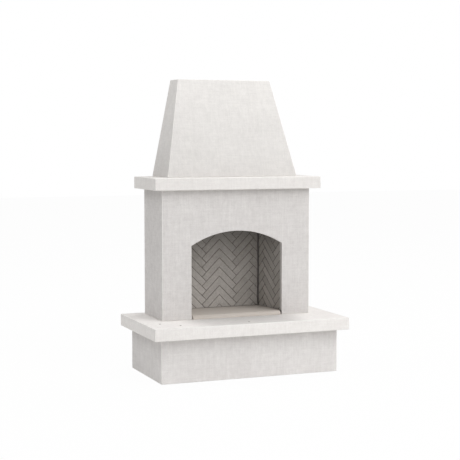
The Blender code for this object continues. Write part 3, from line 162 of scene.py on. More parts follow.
def cast_concrete(name, pale, dark, shade_height=None, lit_height=None, opening_shade_half=None):
    """Rubbed wet-cast concrete between two tones.

    The fourth and fifth arguments are the heights where painted shade darkens it most and where that shade
    ends, and the last is half the width of the opening before which painted shade darkens what looks up.
    """
    material, tree, shader, place = start_material(name, Roughness=0.82, IOR=1.5)
    total, middle = 0.0, 0.0
    for size, weight in SACK_LAYERS:
        scaled = add(tree, "ShaderNodeMapping", {"Vector": place, "Scale": [1 / length for length in size]})
        noise = add(tree, "ShaderNodeTexNoise", {"Vector": scaled.outputs[0], "Scale": 1.0,
                                                 "Detail": LAYER_DETAIL, "Roughness": LAYER_ROUGHNESS})
        total = add(tree, "ShaderNodeMath", {0: noise.outputs["Fac"], 1: weight, 2: total},
                    operation="MULTIPLY_ADD").outputs[0]
        middle += weight / 2
    tone = add(tree, "ShaderNodeMapRange", {"Value": total, "From Min": middle - TONE_SPREAD / 2,
                                            "From Max": middle + TONE_SPREAD / 2})
    face = add(tree, "ShaderNodeMix", {0: tone.outputs[0], 6: srgb(dark), 7: srgb(pale)}, data_type="RGBA")
    holes = add(tree, "ShaderNodeTexVoronoi", {"Vector": place, "Scale": 1 / PINHOLE_SPACING,
                                               "Randomness": 1.0})
    open_hole = add(tree, "ShaderNodeMapRange", {"Value": holes.outputs["Distance"],
                                                 "From Min": PINHOLE_CORE_SHARE,
                                                 "From Max": PINHOLE_RIM_SHARE,
                                                 "To Min": PINHOLE_TONE, "To Max": 1.0})
    dimmed = open_hole.outputs[0]
    # painted shade that follows the height: deepest at the first height, gone at the second
    if shade_height is not None:
        height = add(tree, "ShaderNodeSeparateXYZ", {0: place}).outputs["Z"]
        rise = add(tree, "ShaderNodeMapRange", {"Value": height, "From Min": shade_height, "From Max": lit_height,
                                                "To Min": PAINTED_SHADE_TONE, "To Max": 1.0})
        dimmed = add(tree, "ShaderNodeMath", {0: rise.outputs[0], 1: dimmed},
                     operation="MULTIPLY").outputs[0]
    # painted shade before the opening, on faces that look up
    if opening_shade_half is not None:
        across = add(tree, "ShaderNodeSeparateXYZ", {0: place}).outputs["X"]
        aside = add(tree, "ShaderNodeMath", {0: across}, operation="ABSOLUTE").outputs[0]
        opening_shade = add(tree, "ShaderNodeMapRange", {"Value": aside, "From Min": OPENING_SHADE_CORE_SHARE * opening_shade_half,
                                               "From Max": OPENING_SHADE_RIM_SHARE * opening_shade_half,
                                               "To Min": OPENING_SHADE_TONE, "To Max": 1.0})
        normal = add(tree, "ShaderNodeNewGeometry", {}).outputs["Normal"]
        upward = add(tree, "ShaderNodeSeparateXYZ", {0: normal}).outputs["Z"]
        painted_shade = add(tree, "ShaderNodeMix", {0: upward, 2: 1.0, 3: opening_shade.outputs[0]}).outputs[0]
        dimmed = add(tree, "ShaderNodeMath", {0: painted_shade, 1: dimmed}, operation="MULTIPLY").outputs[0]
    shade = add(tree, "ShaderNodeMix", {0: 1.0, 6: face.outputs[2], 7: dimmed},
                data_type="RGBA", blend_type="MULTIPLY")
    tree.links.new(shade.outputs[2], shader.inputs["Base Color"])
    grain = add(tree, "ShaderNodeTexNoise", {"Vector": place, "Scale": 1 / GRAIN_WIDTH, "Detail": 2.0})
    relief = add(tree, "ShaderNodeMath", {0: grain.outputs["Fac"], 1: GRAIN_SHARE, 2: total},
                 operation="MULTIPLY_ADD")
    deep = add(tree, "ShaderNodeMath", {0: open_hole.outputs[0], 1: PINHOLE_SINK, 2: relief.outputs[0]},
               operation="MULTIPLY_ADD")
    bump = add(tree, "ShaderNodeBump", {"Height": deep.outputs[0], "Strength": FACE_BUMP,
                                        "Distance": FACE_RELIEF})
    tree.links.new(bump.outputs[0], shader.inputs["Normal"])
    return material


OPENING_HALF = 16 * INCH
hood_low, hood_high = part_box("chimney_hood")
plinth_low, plinth_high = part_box("base_surround")
wall_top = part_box("arched_surround")[1].z
# painted shade: wall under the shelf, plinth under the slab, hood at its foot, slab top before the opening
wall_concrete = cast_concrete("rubbed_wet_cast_concrete_wall", "#e2dfdd", "#cbc7c5",
                              shade_height=wall_top, lit_height=wall_top - SHELF_SHADE_BAND)
plinth_concrete = cast_concrete("rubbed_wet_cast_concrete_plinth", "#f1eeec", "#dbd7d5",
                                shade_height=plinth_high.z, lit_height=plinth_low.z)
shelf_concrete = cast_concrete("rubbed_wet_cast_concrete_shelf", "#efece9", "#dfdbd8")
slab_concrete = cast_concrete("rubbed_wet_cast_concrete_slab", "#f6f3f0", "#e6e2df", opening_shade_half=OPENING_HALF)
hood_concrete = cast_concrete("rubbed_wet_cast_concrete_hood", "#f1eeeb", "#dfdcd9",
                              shade_height=hood_low.z, lit_height=hood_high.z)
# the arris strips get a paler mix: a painted highlight along the edges
arris_highlight = cast_concrete("cast_concrete_arris_painted_highlight", "#f6f4f1", "#eae8e4")
pit_grime = cast_concrete("grimed_cast_concrete_pit", "#99948e", "#7b7670")
for mix in (wall_concrete, plinth_concrete, shelf_concrete, slab_concrete, hood_concrete, arris_highlight,
            pit_grime):
    print("made", mix.name)

# %% [markdown]
# ## Firebrick, mortar and hearth
#
# The firebox is lined with warm grey firebrick, pressed and fired, so each brick is matt, has a slightly
# different tone from its kiln place, and a sandy face. A number stored on the faces of each brick carries
# its tone to the material. The joints are raked back and hold a darker fireclay mortar, which is the
# sandiest of all. The grit of all three is drawn at about two millimetres, which is coarse, so that it
# still shows. The hearth floor is cast in one piece, so it has wide soft clouds and no bricks. Painted
# shade comes last: bricks and mortar darken towards the top under the arch, and the floor towards its
# back. Each is one factor that fades along an axis.

# %% Firebrick and mortar materials
BRICK_GRIT, BRICK_SPECK, BRICK_PATCH, HEARTH_PATCH = 1.8 * MM, 9 * MM, 60 * MM, 260 * MM
SPECK_SHARE, MIDDLE_TONE, DARK_END, PALE_END = 0.5, 0.4, 0.5, 1.3
BRICK_BUMP, MORTAR_BUMP, CLAY_RELIEF = 0.35, 0.6, 0.6 * MM
ARCH_SHADE_START, ARCH_SHADE_END, ARCH_SHADE_TONE, FLOOR_SHADE_TONE = 1.04, 1.20, 0.65, 0.82


def fired_clay(name, pale, dark, tone_name=None, strength=BRICK_BUMP, patch_width=BRICK_PATCH, shade_fade=None):
    """Matt fired clay between two tones, with patches, specks and grit.

    tone_name is the attribute with each brick's own tone, and the last argument gives the axis, the end
    where a painted shade starts, the end where it is deepest, and its tone, for a shade that darkens the
    clay.
    """
    material, tree, shader, place = start_material(name, Roughness=0.9, IOR=1.5)
    cloud = add(tree, "ShaderNodeTexNoise", {"Vector": place, "Scale": 1 / patch_width, "Detail": 5.0,
                                             "Roughness": 0.65}).outputs["Fac"]
    speck = add(tree, "ShaderNodeTexNoise", {"Vector": place, "Scale": 1 / BRICK_SPECK, "Detail": 1.0})
    patch = add(tree, "ShaderNodeMix", {0: SPECK_SHARE, 2: cloud, 3: speck.outputs["Fac"]}).outputs[0]
    own = MIDDLE_TONE
    if tone_name:
        own = add(tree, "ShaderNodeAttribute", {}, attribute_name=tone_name).outputs["Fac"]
    mix = add(tree, "ShaderNodeMath", {0: patch, 1: own}, operation="ADD").outputs[0]
    spread = add(tree, "ShaderNodeMapRange", {"Value": mix, "From Min": DARK_END, "From Max": PALE_END})
    colour = add(tree, "ShaderNodeMix", {0: spread.outputs[0], 6: srgb(dark), 7: srgb(pale)},
                 data_type="RGBA")
    if shade_fade is not None:
        axis, lit_end, shaded_end, shade_tone = shade_fade
        along = add(tree, "ShaderNodeSeparateXYZ", {0: place}).outputs[axis]
        painted_shade = add(tree, "ShaderNodeMapRange", {"Value": along, "From Min": lit_end,
                                                "From Max": shaded_end, "To Min": 1.0,
                                                "To Max": shade_tone})
        colour = add(tree, "ShaderNodeMix", {0: 1.0, 6: colour.outputs[2], 7: painted_shade.outputs[0]},
                     data_type="RGBA", blend_type="MULTIPLY")
    tree.links.new(colour.outputs[2], shader.inputs["Base Color"])
    grit = add(tree, "ShaderNodeTexNoise", {"Vector": place, "Scale": 1 / BRICK_GRIT, "Detail": 3.0})
    bump = add(tree, "ShaderNodeBump", {"Height": grit.outputs["Fac"], "Strength": strength,
                                        "Distance": CLAY_RELIEF})
    tree.links.new(bump.outputs[0], shader.inputs["Normal"])
    return material


floor_low, floor_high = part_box("hearth_floor")
# painted shade: bricks and mortar darken towards the top under the arch, the floor towards its back
ARCH_SHADE = ("Z", ARCH_SHADE_START, ARCH_SHADE_END, ARCH_SHADE_TONE)
FLOOR_BACK_SHADE = ("Y", floor_low.y, floor_high.y, FLOOR_SHADE_TONE)
firebrick = fired_clay("pressed_firebrick", "#c3beb9", "#8f8a84", tone_name="brick_tone", shade_fade=ARCH_SHADE)
rear_mortar = fired_clay("raked_fireclay_mortar", "#77726c", "#5f5a55", strength=MORTAR_BUMP,
                         shade_fade=ARCH_SHADE)
# the side walls' mortar is darker than the rear wall's: painted shade
shaded_side_mortar = fired_clay("shade_darkened_fireclay_mortar", "#57534e", "#403c39", strength=MORTAR_BUMP,
                         shade_fade=ARCH_SHADE)
hearth_tile = fired_clay("cast_hearth_refractory", "#cfccc6", "#c9bbb0", patch_width=HEARTH_PATCH,
                         shade_fade=FLOOR_BACK_SHADE)
print("made", firebrick.name, rear_mortar.name, shaded_side_mortar.name, hearth_tile.name)

# %% [markdown]
# ## The steel and the soft parts inside
#
# The rest is metal that few people see: galvanised studs and sheet with their zinc spangle, rolled
# stainless flue liner with fine lines up it, black primed steel, and a cast-iron damper with a sandy skin.
# A metal keeps the default IOR and gets its look from its colour, its roughness and a fine bump. Wear shows
# on the dark ones as patches about 45 mm wide. Real rolling lines and casting sand are finer than any pixel
# here, so both are drawn two or three times too coarse. The soft parts are ceramic fibre board behind the
# bricks and flush-pointed mortar between the castings. Both are matt and only faintly specked, so they stay
# quiet beside the metal.

# %% Metal, board and joint materials
SPANGLE, ROLL_LINE, ROLL_LENGTH, CAST_SAND = 14 * MM, 0.8 * MM, 250 * MM, 1.4 * MM
WEAR_PATCHES_PER_METRE, SKIN_BUMP, BOARD_RELIEF = 22.0, 0.3, 0.4 * MM
SMOOTH_ZINC, ROUGH_ZINC, SMOOTH_STEEL, ROUGH_STEEL = 0.36, 0.55, 0.26, 0.42


def galvanised_steel():
    """Hot-dip zinc: crystals a thumb's width across, each turned a little against its neighbours."""
    material, tree, shader, place = start_material("hot_dip_galvanised_steel", Metallic=1.0, Roughness=0.45)
    crystal = add(tree, "ShaderNodeTexVoronoi", {"Vector": place, "Scale": 1 / SPANGLE})
    value = add(tree, "ShaderNodeSeparateColor", {0: crystal.outputs["Color"]}).outputs[0]
    colour = add(tree, "ShaderNodeMix", {0: value, 6: srgb("#9ea3a6"), 7: srgb("#c3c7c9")},
                 data_type="RGBA")
    tree.links.new(colour.outputs[2], shader.inputs["Base Color"])
    rough = add(tree, "ShaderNodeMapRange", {"Value": value, "To Min": SMOOTH_ZINC, "To Max": ROUGH_ZINC})
    tree.links.new(rough.outputs[0], shader.inputs["Roughness"])
    return material


def rolled_stainless():
    """Mill-finish stainless sheet with rolling lines that run up the flue."""
    material, tree, shader, place = start_material("mill_finish_stainless_steel", Metallic=1.0,
                                                   Roughness=0.32)
    along = add(tree, "ShaderNodeMapping", {"Vector": place, "Scale": (1 / ROLL_LINE, 1 / ROLL_LINE,
                                                                       1 / ROLL_LENGTH)})
    lines = add(tree, "ShaderNodeTexNoise", {"Vector": along.outputs[0], "Scale": 1.0, "Detail": 2.0})
    colour = add(tree, "ShaderNodeMix", {0: lines.outputs["Fac"], 6: srgb("#a9abad"), 7: srgb("#c9cbcc")},
                 data_type="RGBA")
    tree.links.new(colour.outputs[2], shader.inputs["Base Color"])
    rough = add(tree, "ShaderNodeMapRange", {"Value": lines.outputs["Fac"], "To Min": SMOOTH_STEEL,
                                             "To Max": ROUGH_STEEL})
    tree.links.new(rough.outputs[0], shader.inputs["Roughness"])
    return material


def dark_metal(name, colour, worn, roughness, metallic, depth):
    """Primed or cast dark metal: patchy, with a sandy skin."""
    material, tree, shader, place = start_material(name, Metallic=metallic, Roughness=roughness)
    patch = add(tree, "ShaderNodeTexNoise", {"Vector": place, "Scale": WEAR_PATCHES_PER_METRE,
                                             "Detail": 5.0})
    tint = add(tree, "ShaderNodeMix", {0: patch.outputs["Fac"], 6: srgb(colour), 7: srgb(worn)},
               data_type="RGBA")
    tree.links.new(tint.outputs[2], shader.inputs["Base Color"])
    sand = add(tree, "ShaderNodeTexNoise", {"Vector": place, "Scale": 1 / CAST_SAND, "Detail": 2.0})
    bump = add(tree, "ShaderNodeBump", {"Height": sand.outputs["Fac"], "Strength": SKIN_BUMP,
                                        "Distance": depth})
    tree.links.new(bump.outputs[0], shader.inputs["Normal"])
    return material


def matt_fill(name, pale, dark, spot, roughness):
    """Fibre board, tape or joint mortar: matt, with soft specks of one size."""
    material, tree, shader, place = start_material(name, Roughness=roughness, IOR=1.45)
    speck = add(tree, "ShaderNodeTexNoise", {"Vector": place, "Scale": 1 / spot, "Detail": 4.0})
    tint = add(tree, "ShaderNodeMix", {0: speck.outputs["Fac"], 6: srgb(dark), 7: srgb(pale)},
               data_type="RGBA")
    tree.links.new(tint.outputs[2], shader.inputs["Base Color"])
    bump = add(tree, "ShaderNodeBump", {"Height": speck.outputs["Fac"], "Strength": SKIN_BUMP,
                                        "Distance": BOARD_RELIEF})
    tree.links.new(bump.outputs[0], shader.inputs["Normal"])
    return material


FINISHES = {
    "cast_concrete": wall_concrete,
    "refractory_brick": firebrick,
    "hearth_tile": hearth_tile,
    "galvanised_steel": galvanised_steel(),
    "stainless_steel": rolled_stainless(),
    "black_steel": dark_metal("primed_black_steel", "#26272a", "#3a3b3e",
                              roughness=0.5, metallic=0.2, depth=0.1 * MM),
    "cast_iron": dark_metal("sand_cast_iron", "#2b2a29", "#454240",
                            roughness=0.62, metallic=0.85, depth=0.4 * MM),
    "insulation_board": matt_fill("ceramic_fibre_board", "#e6e1d2", "#cfc8b6",
                                  spot=7 * MM, roughness=0.95),
    "sealant": matt_fill("flush_pointed_joint_mortar", "#eeebe7", "#e0dcd8",
                         spot=3 * MM, roughness=0.9),
}

for name, node in frame["nodes"].items():
    node.data.materials.clear()
    node.data.materials.append(FINISHES[node_slot[name]])
print("finished", len(frame["nodes"]), "CAD nodes in", len(FINISHES), "materials")

# %% [markdown]
# ## Castings with soft edges
#
# No cast edge is a knife edge: the mould has a small fillet and the rubbing rounds it further. The CAD
# nodes have a flat chamfer there, so each casting is copied, its loose triangles are welded and its flat
# faces made whole again, and then every long sharp edge is bevelled in two steps. The new strips are shaded
# smooth and the flats stay flat, so light rolls over the edge and nowhere else. The short edges of drilled
# holes are left out, because one small hole would otherwise hold the whole bevel back.

# %% Helpers for pieces
WELD, FLAT_LIMIT, SHARP_LIMIT = 0.02 * MM, math.radians(0.2), math.radians(25)
SHORT_EDGE, ARRIS_WIDTH, ARRIS_STRIP, ARRIS_STEPS = 20 * MM, 1.2 * MM, 5 * MM, 2


def welded_copy(node):
    """A bmesh of a CAD node with its loose triangles welded and its flat faces made whole."""
    bm = bmesh.new()
    bm.from_mesh(frame["nodes"][node].data)
    bmesh.ops.remove_doubles(bm, verts=bm.verts, dist=WELD)
    bmesh.ops.dissolve_limit(bm, angle_limit=FLAT_LIMIT, verts=bm.verts, edges=bm.edges)
    return bm


def soften(bm, width, shortest=SHORT_EDGE, strip=0.0):
    """Round every long outer edge, shade the new strips smooth, and give strips the second material.

    A face narrower than strip counts as one of the edge's strips, as the flat chamfer of a casting does.
    """
    for face in bm.faces:
        face.smooth = False
    sharp = [edge for edge in bm.edges if edge.is_manifold and edge.is_convex
             and edge.calc_length() > shortest and edge.calc_face_angle() > SHARP_LIMIT]
    made = bmesh.ops.bevel(bm, geom=sharp, offset=width, segments=ARRIS_STEPS, profile=0.5,
                           affect="EDGES", material=-1, clamp_overlap=True)
    for face in made["faces"]:
        face.smooth = True
    if strip:
        for face in bm.faces:
            face.material_index = int(2 * face.calc_area() / face.calc_perimeter() < strip)


def mesh_object(name, bm, materials):
    """Turn a bmesh into an object of the scene with these materials."""
    mesh = bpy.data.meshes.new(name)
    bm.to_mesh(mesh)
    bm.free()
    for material in materials:
        mesh.materials.append(material)
    made = bpy.data.objects.new(name, mesh)
    bpy.context.scene.collection.objects.link(made)
    return made


def finish_piece(name, bm, materials, replaced, body="fireplace"):
    """Turn a bmesh into a piece of the object that rides on its body, and hide the CAD nodes it stands for.
    """
    piece = mesh_object(name, bm, materials)
    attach(piece, body)
    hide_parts(*replaced)
    print(name, len(piece.data.polygons), "faces")
    return piece


# %% Soften the castings
CASTINGS = {"base_surround": plinth_concrete, "arched_surround": wall_concrete,
            "rear_cover": wall_concrete, "mantel_shelf": shelf_concrete,
            "hearth_slab": slab_concrete, "chimney_hood": hood_concrete}
for node, mix in CASTINGS.items():
    casting = welded_copy(node)
    soften(casting, ARRIS_WIDTH, strip=ARRIS_STRIP)
    # the second material, on the arris strips, is a painted highlight
    finish_piece(node + "_casting", casting, [mix, arris_highlight], [node])

# %% [markdown]
# ## Pits in the hearth slab
#
# Air bells break open on the flat top of every wet casting, and on a hearth they fill with dust and ash.
# Three are large enough to show from the front. A pit is cut like any hole, with a Boolean: the tool is a
# round ball pressed flat and knocked out of true, and its grimy material goes over to the faces that it
# makes. The modifier is applied at once, so the tool can be thrown away.

# %% Cut the pits
PIT_PLACES = ((-28.6 * INCH, -8.35 * INCH), (-23.5 * INCH, -13.45 * INCH), (-0.44 * INCH, -14.05 * INCH))
PIT_HALF_WIDTH, PIT_HALF_LENGTH, PIT_DEPTH, PIT_WOBBLE = 9 * MM, 11 * MM, 6 * MM, 0.15


def combine(piece, bm, material, operation):
    """Cut a bmesh out of a piece, or join it on, and keep its material on the new faces."""
    tool = mesh_object("tool", bm, [material])
    step = piece.modifiers.new("step", "BOOLEAN")
    step.operation, step.object, step.solver, step.material_mode = operation, tool, "EXACT", "TRANSFER"
    solid = piece.evaluated_get(bpy.context.evaluated_depsgraph_get())
    made = bpy.data.meshes.new_from_object(solid)
    piece.modifiers.clear()
    piece.data = made
    bpy.data.objects.remove(tool)


slab_piece = bpy.data.objects["hearth_slab_casting"]
slab_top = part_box("hearth_slab")[1].z
air = random.Random(5)
pits = bmesh.new()
for x, y in PIT_PLACES:
    ball = bmesh.ops.create_icosphere(pits, subdivisions=2, radius=1.0)["verts"]
    for vert in ball:
        vert.co *= air.uniform(1 - PIT_WOBBLE, 1 + PIT_WOBBLE)
    bmesh.ops.scale(pits, vec=(PIT_HALF_WIDTH, PIT_HALF_LENGTH, PIT_DEPTH), verts=ball)
    bmesh.ops.translate(pits, vec=(x, y, slab_top), verts=ball)
for face in pits.faces:
    face.smooth = True
combine(slab_piece, pits, pit_grime, "DIFFERENCE")
print("slab with", len(PIT_PLACES), "pits has", len(slab_piece.data.polygons), "faces")

# %% [markdown]
# ## The herringbone lining
#
# Herringbone looks woven, but it sits on a plain square grid: each brick covers four cells in a line, one
# kind along the rows and one up the columns, and the pair repeats along the diagonal. So the bond starts as
# a grid of cells, turned by 45 degrees and trimmed to the panel with four cuts. Each cell asks which brick
# it belongs to, and the cells of a brick are dissolved into one face. The rear panel's mould was laid out
# to both sides of an upright line close to its middle: the left part mirrors the right, and the bricks that
# meet there are cast as one bent brick. So both parts are laid, one is turned over, the two are welded, and
# the edges on the line between them dissolve.

# %% The bond
BRICK_PITCH, BRICK_LENGTHS = 2.232 * INCH, 4
RELIEF, PANEL_THICKNESS = 0.14 * INCH, 1.25 * INCH
SLIVER, STUB, IN_LINE = 6.5 * MM, 4.0 * MM, math.radians(1)
KILN = random.Random(11)


def brick_of_cell(i, j):
    """Kind and lattice step of the brick that covers the cell (i, j), a brick's width wide."""
    reach = (abs(i) + abs(j)) // BRICK_LENGTHS + 2
    for across in range(-reach, reach + 1):
        up = j + BRICK_LENGTHS * across
        if 0 <= i - up - BRICK_LENGTHS * across < BRICK_LENGTHS:
            return "along", up, across
        up = i - BRICK_LENGTHS * (across + 1)
        if 0 <= j - up + BRICK_LENGTHS * (across + 1) - 1 < BRICK_LENGTHS:
            return "up", up, across


def herringbone_sheet(width, height, apex):
    """A flat sheet of whole and cut bricks, one face each, with a point of the bond at apex."""
    count = 2 * math.ceil((width + height) / BRICK_PITCH)
    peak = Vector((BRICK_LENGTHS + 1, 1, 0)) * BRICK_PITCH
    turn = Matrix.Rotation(math.pi / 4, 4, "Z")
    place = Matrix.Translation((*apex, 0)) @ turn @ Matrix.Translation(-peak)
    bm = bmesh.new()
    bmesh.ops.create_grid(bm, x_segments=count, y_segments=count, size=count * BRICK_PITCH / 2)
    bmesh.ops.transform(bm, matrix=place, verts=bm.verts)
    for corner, outward in (((0, 0, 0), (-1, 0, 0)), ((width, 0, 0), (1, 0, 0)),
                            ((0, 0, 0), (0, -1, 0)), ((0, height, 0), (0, 1, 0))):
        bmesh.ops.bisect_plane(bm, geom=bm.verts[:] + bm.edges[:] + bm.faces[:], dist=WELD,
                               plane_co=corner, plane_no=outward, clear_outer=True)
    bricks, home = {}, place.inverted()
    for face in bm.faces:
        spot = home @ face.calc_center_median()
        cell = brick_of_cell(math.floor(spot.x / BRICK_PITCH), math.floor(spot.y / BRICK_PITCH))
        bricks.setdefault(cell, []).append(face)
    for faces in bricks.values():
        if len(faces) > 1:
            bmesh.ops.dissolve_faces(bm, faces=faces, use_verts=False)
    straight = [vert for vert in bm.verts if len(vert.link_edges) == 2
                and vert.calc_edge_angle(0) < IN_LINE]
    bmesh.ops.dissolve_verts(bm, verts=straight)

    def rims(vert):
        return sum(abs(gap) < WELD for gap in (vert.co.x, vert.co.x - width, vert.co.y, vert.co.y - height))

    while stubs := [edge for edge in bm.edges if edge.calc_length() < STUB]:
        keep = max(stubs[0].verts, key=rims)
        bmesh.ops.pointmerge(bm, verts=stubs[0].verts[:], merge_co=keep.co.copy())
    return bm


# %% The mirrored part
def turned_sheet(width, height, apex):
    """The mirror image of a sheet, from the same left edge."""
    bm = herringbone_sheet(width, height, (width - apex[0], apex[1]))
    bmesh.ops.scale(bm, vec=(-1, 1, 1), verts=bm.verts)
    bmesh.ops.translate(bm, vec=(width, 0, 0), verts=bm.verts)
    bmesh.ops.reverse_faces(bm, faces=bm.faces)
    return bm


def two_way_sheet(width, height, apex):
    """A sheet that runs to both sides of an upright line through apex, with bent bricks on the line."""
    bm = herringbone_sheet(width - apex[0], height, (0, apex[1]))
    bmesh.ops.translate(bm, vec=(apex[0], 0, 0), verts=bm.verts)
    left = turned_sheet(apex[0], height, apex)
    spare = bpy.data.meshes.new("left_part")
    left.to_mesh(spare)
    left.free()
    bm.from_mesh(spare)
    bpy.data.meshes.remove(spare)
    bmesh.ops.remove_doubles(bm, verts=bm.verts, dist=WELD)
    middle = [edge for edge in bm.edges if all(abs(vert.co.x - apex[0]) < WELD for vert in edge.verts)]
    bmesh.ops.dissolve_edges(bm, edges=middle, use_verts=False)
    return bm


# %% [markdown]
# Now each brick rises out of the joint. A thin inset first gives every brick an outline of its own, and
# the points where a neighbour's corner met it come out of that outline: an inset works corner by corner,
# and such a point close to a sharp corner would fold. Then insets stacked on each other draw the section of
# a pressed brick: half the joint, a steep side, and two small steps that round it over to the face. On the
# side walls the steep sides take the mortar's colour as well, a painted shade that keeps their joints dark
# when they are seen at a slant. The upper courses, and the rear panel towards its right as well, are
# darkened by painted shade: so much per metre is taken from each brick's tone. A cut brick that is too thin
# for all this stays mortar, as a bricklayer would fill it. The random numbers start from a fixed seed, so
# each run fires the same bricks.

# %% Raise the bricks
OUTLINE, STRAIGHT, ROUND_FROM_STEP = 0.4 * MM, math.radians(179), 2
BRICK_SECTION = ((1.6 * MM, 0), (0.3 * MM, 2.2 * MM), (0.5 * MM, 0.9 * MM), (1.0 * MM, 0.4 * MM))


def raise_bricks(bm, tones, shade_slope, mortar_tinted_steps):
    """Raise the bricks of a sheet out of its mortar, store the tone of each, and count them.

    The third argument is what each metre across and up takes from a tone as painted shade, and the fourth
    the steps left in the mortar's colour.
    """
    tone = bm.faces.layers.float.new("brick_tone")
    if bm.faces[:][0].normal.z < 0:
        bmesh.ops.reverse_faces(bm, faces=bm.faces)
    whole = [face for face in bm.faces if 2 * face.calc_area() / face.calc_perimeter() > SLIVER]
    for face in bm.faces:
        face.material_index = 1
    for face in whole:
        # painted shade: each brick's tone is lowered by its place across and up
        face[tone] = KILN.uniform(*tones) - shade_slope.dot(face.calc_center_median())
    bmesh.ops.inset_individual(bm, faces=whole, thickness=OUTLINE, use_even_offset=True)
    spokes = [edge for face in whole for corner in face.loops if corner.calc_angle() > STRAIGHT
              for edge in corner.vert.link_edges if face not in edge.link_faces]
    bmesh.ops.dissolve_edges(bm, edges=spokes, use_verts=True)
    for index, (width, rise) in enumerate(BRICK_SECTION):
        sides = bmesh.ops.inset_individual(bm, faces=whole, thickness=width, depth=rise,
                                           use_even_offset=True)["faces"]
        # on the side walls the steep side keeps the mortar's colour too: painted shade in the joints
        if index == mortar_tinted_steps:
            for face in whole:
                face.material_index = 0
        for face in sides:
            face.smooth = index >= ROUND_FROM_STEP
    return len(whole)


def brick_panel(node, bm, tones, shade_slope, mortar_tinted_steps, joint, place):
    """Turn a sheet into a casting of bricks and mortar over a plain back, where the CAD panel is."""
    bmesh.ops.recalc_face_normals(bm, faces=bm.faces)
    count = raise_bricks(bm, tones, shade_slope, mortar_tinted_steps)
    rim = [edge for edge in bm.edges if edge.is_boundary]
    grown = bmesh.ops.extrude_edge_only(bm, edges=rim)["geom"]
    back = [item for item in grown if isinstance(item, bmesh.types.BMVert)]
    bmesh.ops.translate(bm, vec=(0, 0, RELIEF - PANEL_THICKNESS), verts=back)
    bmesh.ops.edgeloop_fill(bm, edges=[item for item in grown if isinstance(item, bmesh.types.BMEdge)])
    upright = Matrix(((1, 0, 0, 0), (0, 0, -1, 0), (0, 1, 0, 0), (0, 0, 0, 1)))
    bmesh.ops.transform(bm, matrix=place @ Matrix.Translation((0, RELIEF, 0)) @ upright, verts=bm.verts)
    bmesh.ops.recalc_face_normals(bm, faces=bm.faces)
    finish_piece(node + "_brickwork", bm, [firebrick, joint], [node])
    print(node, count, "bricks")


# %% [markdown]
# The panels go where the CAD ones are. The rear one is as wide as its CAD box. The side ones splay out from
# it to the front, so their length follows from the firebox's widths behind and in front and from its depth.
# The points of the bond stand where the photo shows them: so far along the wall, and so far above the
# floor. The last loop measures how far each panel's box is off its CAD box.

# %% Lay the three panels
REAR_WIDTH, FRONT_WIDTH, WALL_BACK = 28.0 * INCH, 33.2 * INCH, -1.55 * INCH
CORNER_SLOT, SIDE_APEX, FIT = 0.5 * INCH, 4.36 * INCH, 0.3 * MM
REAR_RISE, SIDE_RISE, MIDDLE_SHIFT = 1.12 * INCH, 1.39 * INCH, 5 * MM
REAR_TONES, SIDE_TONES = (0.62, 0.76), (0.52, 0.76)
# painted shade: tone taken from the bricks per metre across and up
REAR_SHADE_SLOPE, SIDE_SHADE_SLOPE = Vector((0.28, 0.46, 0)), Vector((0, 0.45, 0))

rear_low, rear_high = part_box("rear_brick_panel")
panel_height = rear_high.z - rear_low.z
splay = math.atan2((FRONT_WIDTH - REAR_WIDTH) / 2, rear_low.y - WALL_BACK)
along = Vector((math.sin(splay), -math.cos(splay), 0))
start = Vector((REAR_WIDTH / 2, rear_low.y, rear_low.z)) + CORNER_SLOT * along
side_length = (start.y - WALL_BACK - FIT) / math.cos(splay) - PANEL_THICKNESS * math.tan(splay)
end = start + side_length * along
quarter = math.pi / 2

rear_width = rear_high.x - rear_low.x
rear_sheet = two_way_sheet(rear_width, panel_height, (rear_width / 2 - MIDDLE_SHIFT, REAR_RISE))
brick_panel("rear_brick_panel", rear_sheet, REAR_TONES, REAR_SHADE_SLOPE, 0, rear_mortar,
            Matrix.Translation(rear_low))
side_point = SIDE_APEX - CORNER_SLOT
right_sheet = herringbone_sheet(side_length, panel_height, (side_point, SIDE_RISE))
brick_panel("right_brick_panel", right_sheet, SIDE_TONES, SIDE_SHADE_SLOPE, 1, shaded_side_mortar,
            Matrix.Translation(start) @ Matrix.Rotation(splay - quarter, 4, "Z"))
left_sheet = turned_sheet(side_length, panel_height, (side_length - side_point, SIDE_RISE))
brick_panel("left_brick_panel", left_sheet, SIDE_TONES, SIDE_SHADE_SLOPE, 1, shaded_side_mortar,
            Matrix.Translation((-end.x, end.y, end.z)) @ Matrix.Rotation(quarter - splay, 4, "Z"))
for side in ("rear", "right", "left"):
    piece = bpy.data.objects[side + "_brick_panel_brickwork"]
    corners = [Vector(corner) for corner in piece.bound_box]
    low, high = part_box(side + "_brick_panel")
    print(side, "panel off by", [round(1000 * (min(c[k] for c in corners) - low[k]), 2) for k in range(3)],
          [round(1000 * (max(c[k] for c in corners) - high[k]), 2) for k in range(3)], "mm")

# %% [markdown]
# ## The hearth floor
#
# The firebox stands on a thin cast floor whose front edge is a bullnose that runs out between the jambs.
# It is welded and softened like the castings, and the strips of the nose are shaded smooth as well.

# %% Hearth floor
NOSE_STRIP, FLOOR_ROUND = 12 * MM, 0.8 * MM
floor = welded_copy("hearth_floor")
soften(floor, FLOOR_ROUND)
for face in floor.faces:
    face.smooth = face.smooth or 2 * face.calc_area() / face.calc_perimeter() < NOSE_STRIP
finish_piece("hearth_floor_casting", floor, [hearth_tile], ["hearth_floor"])

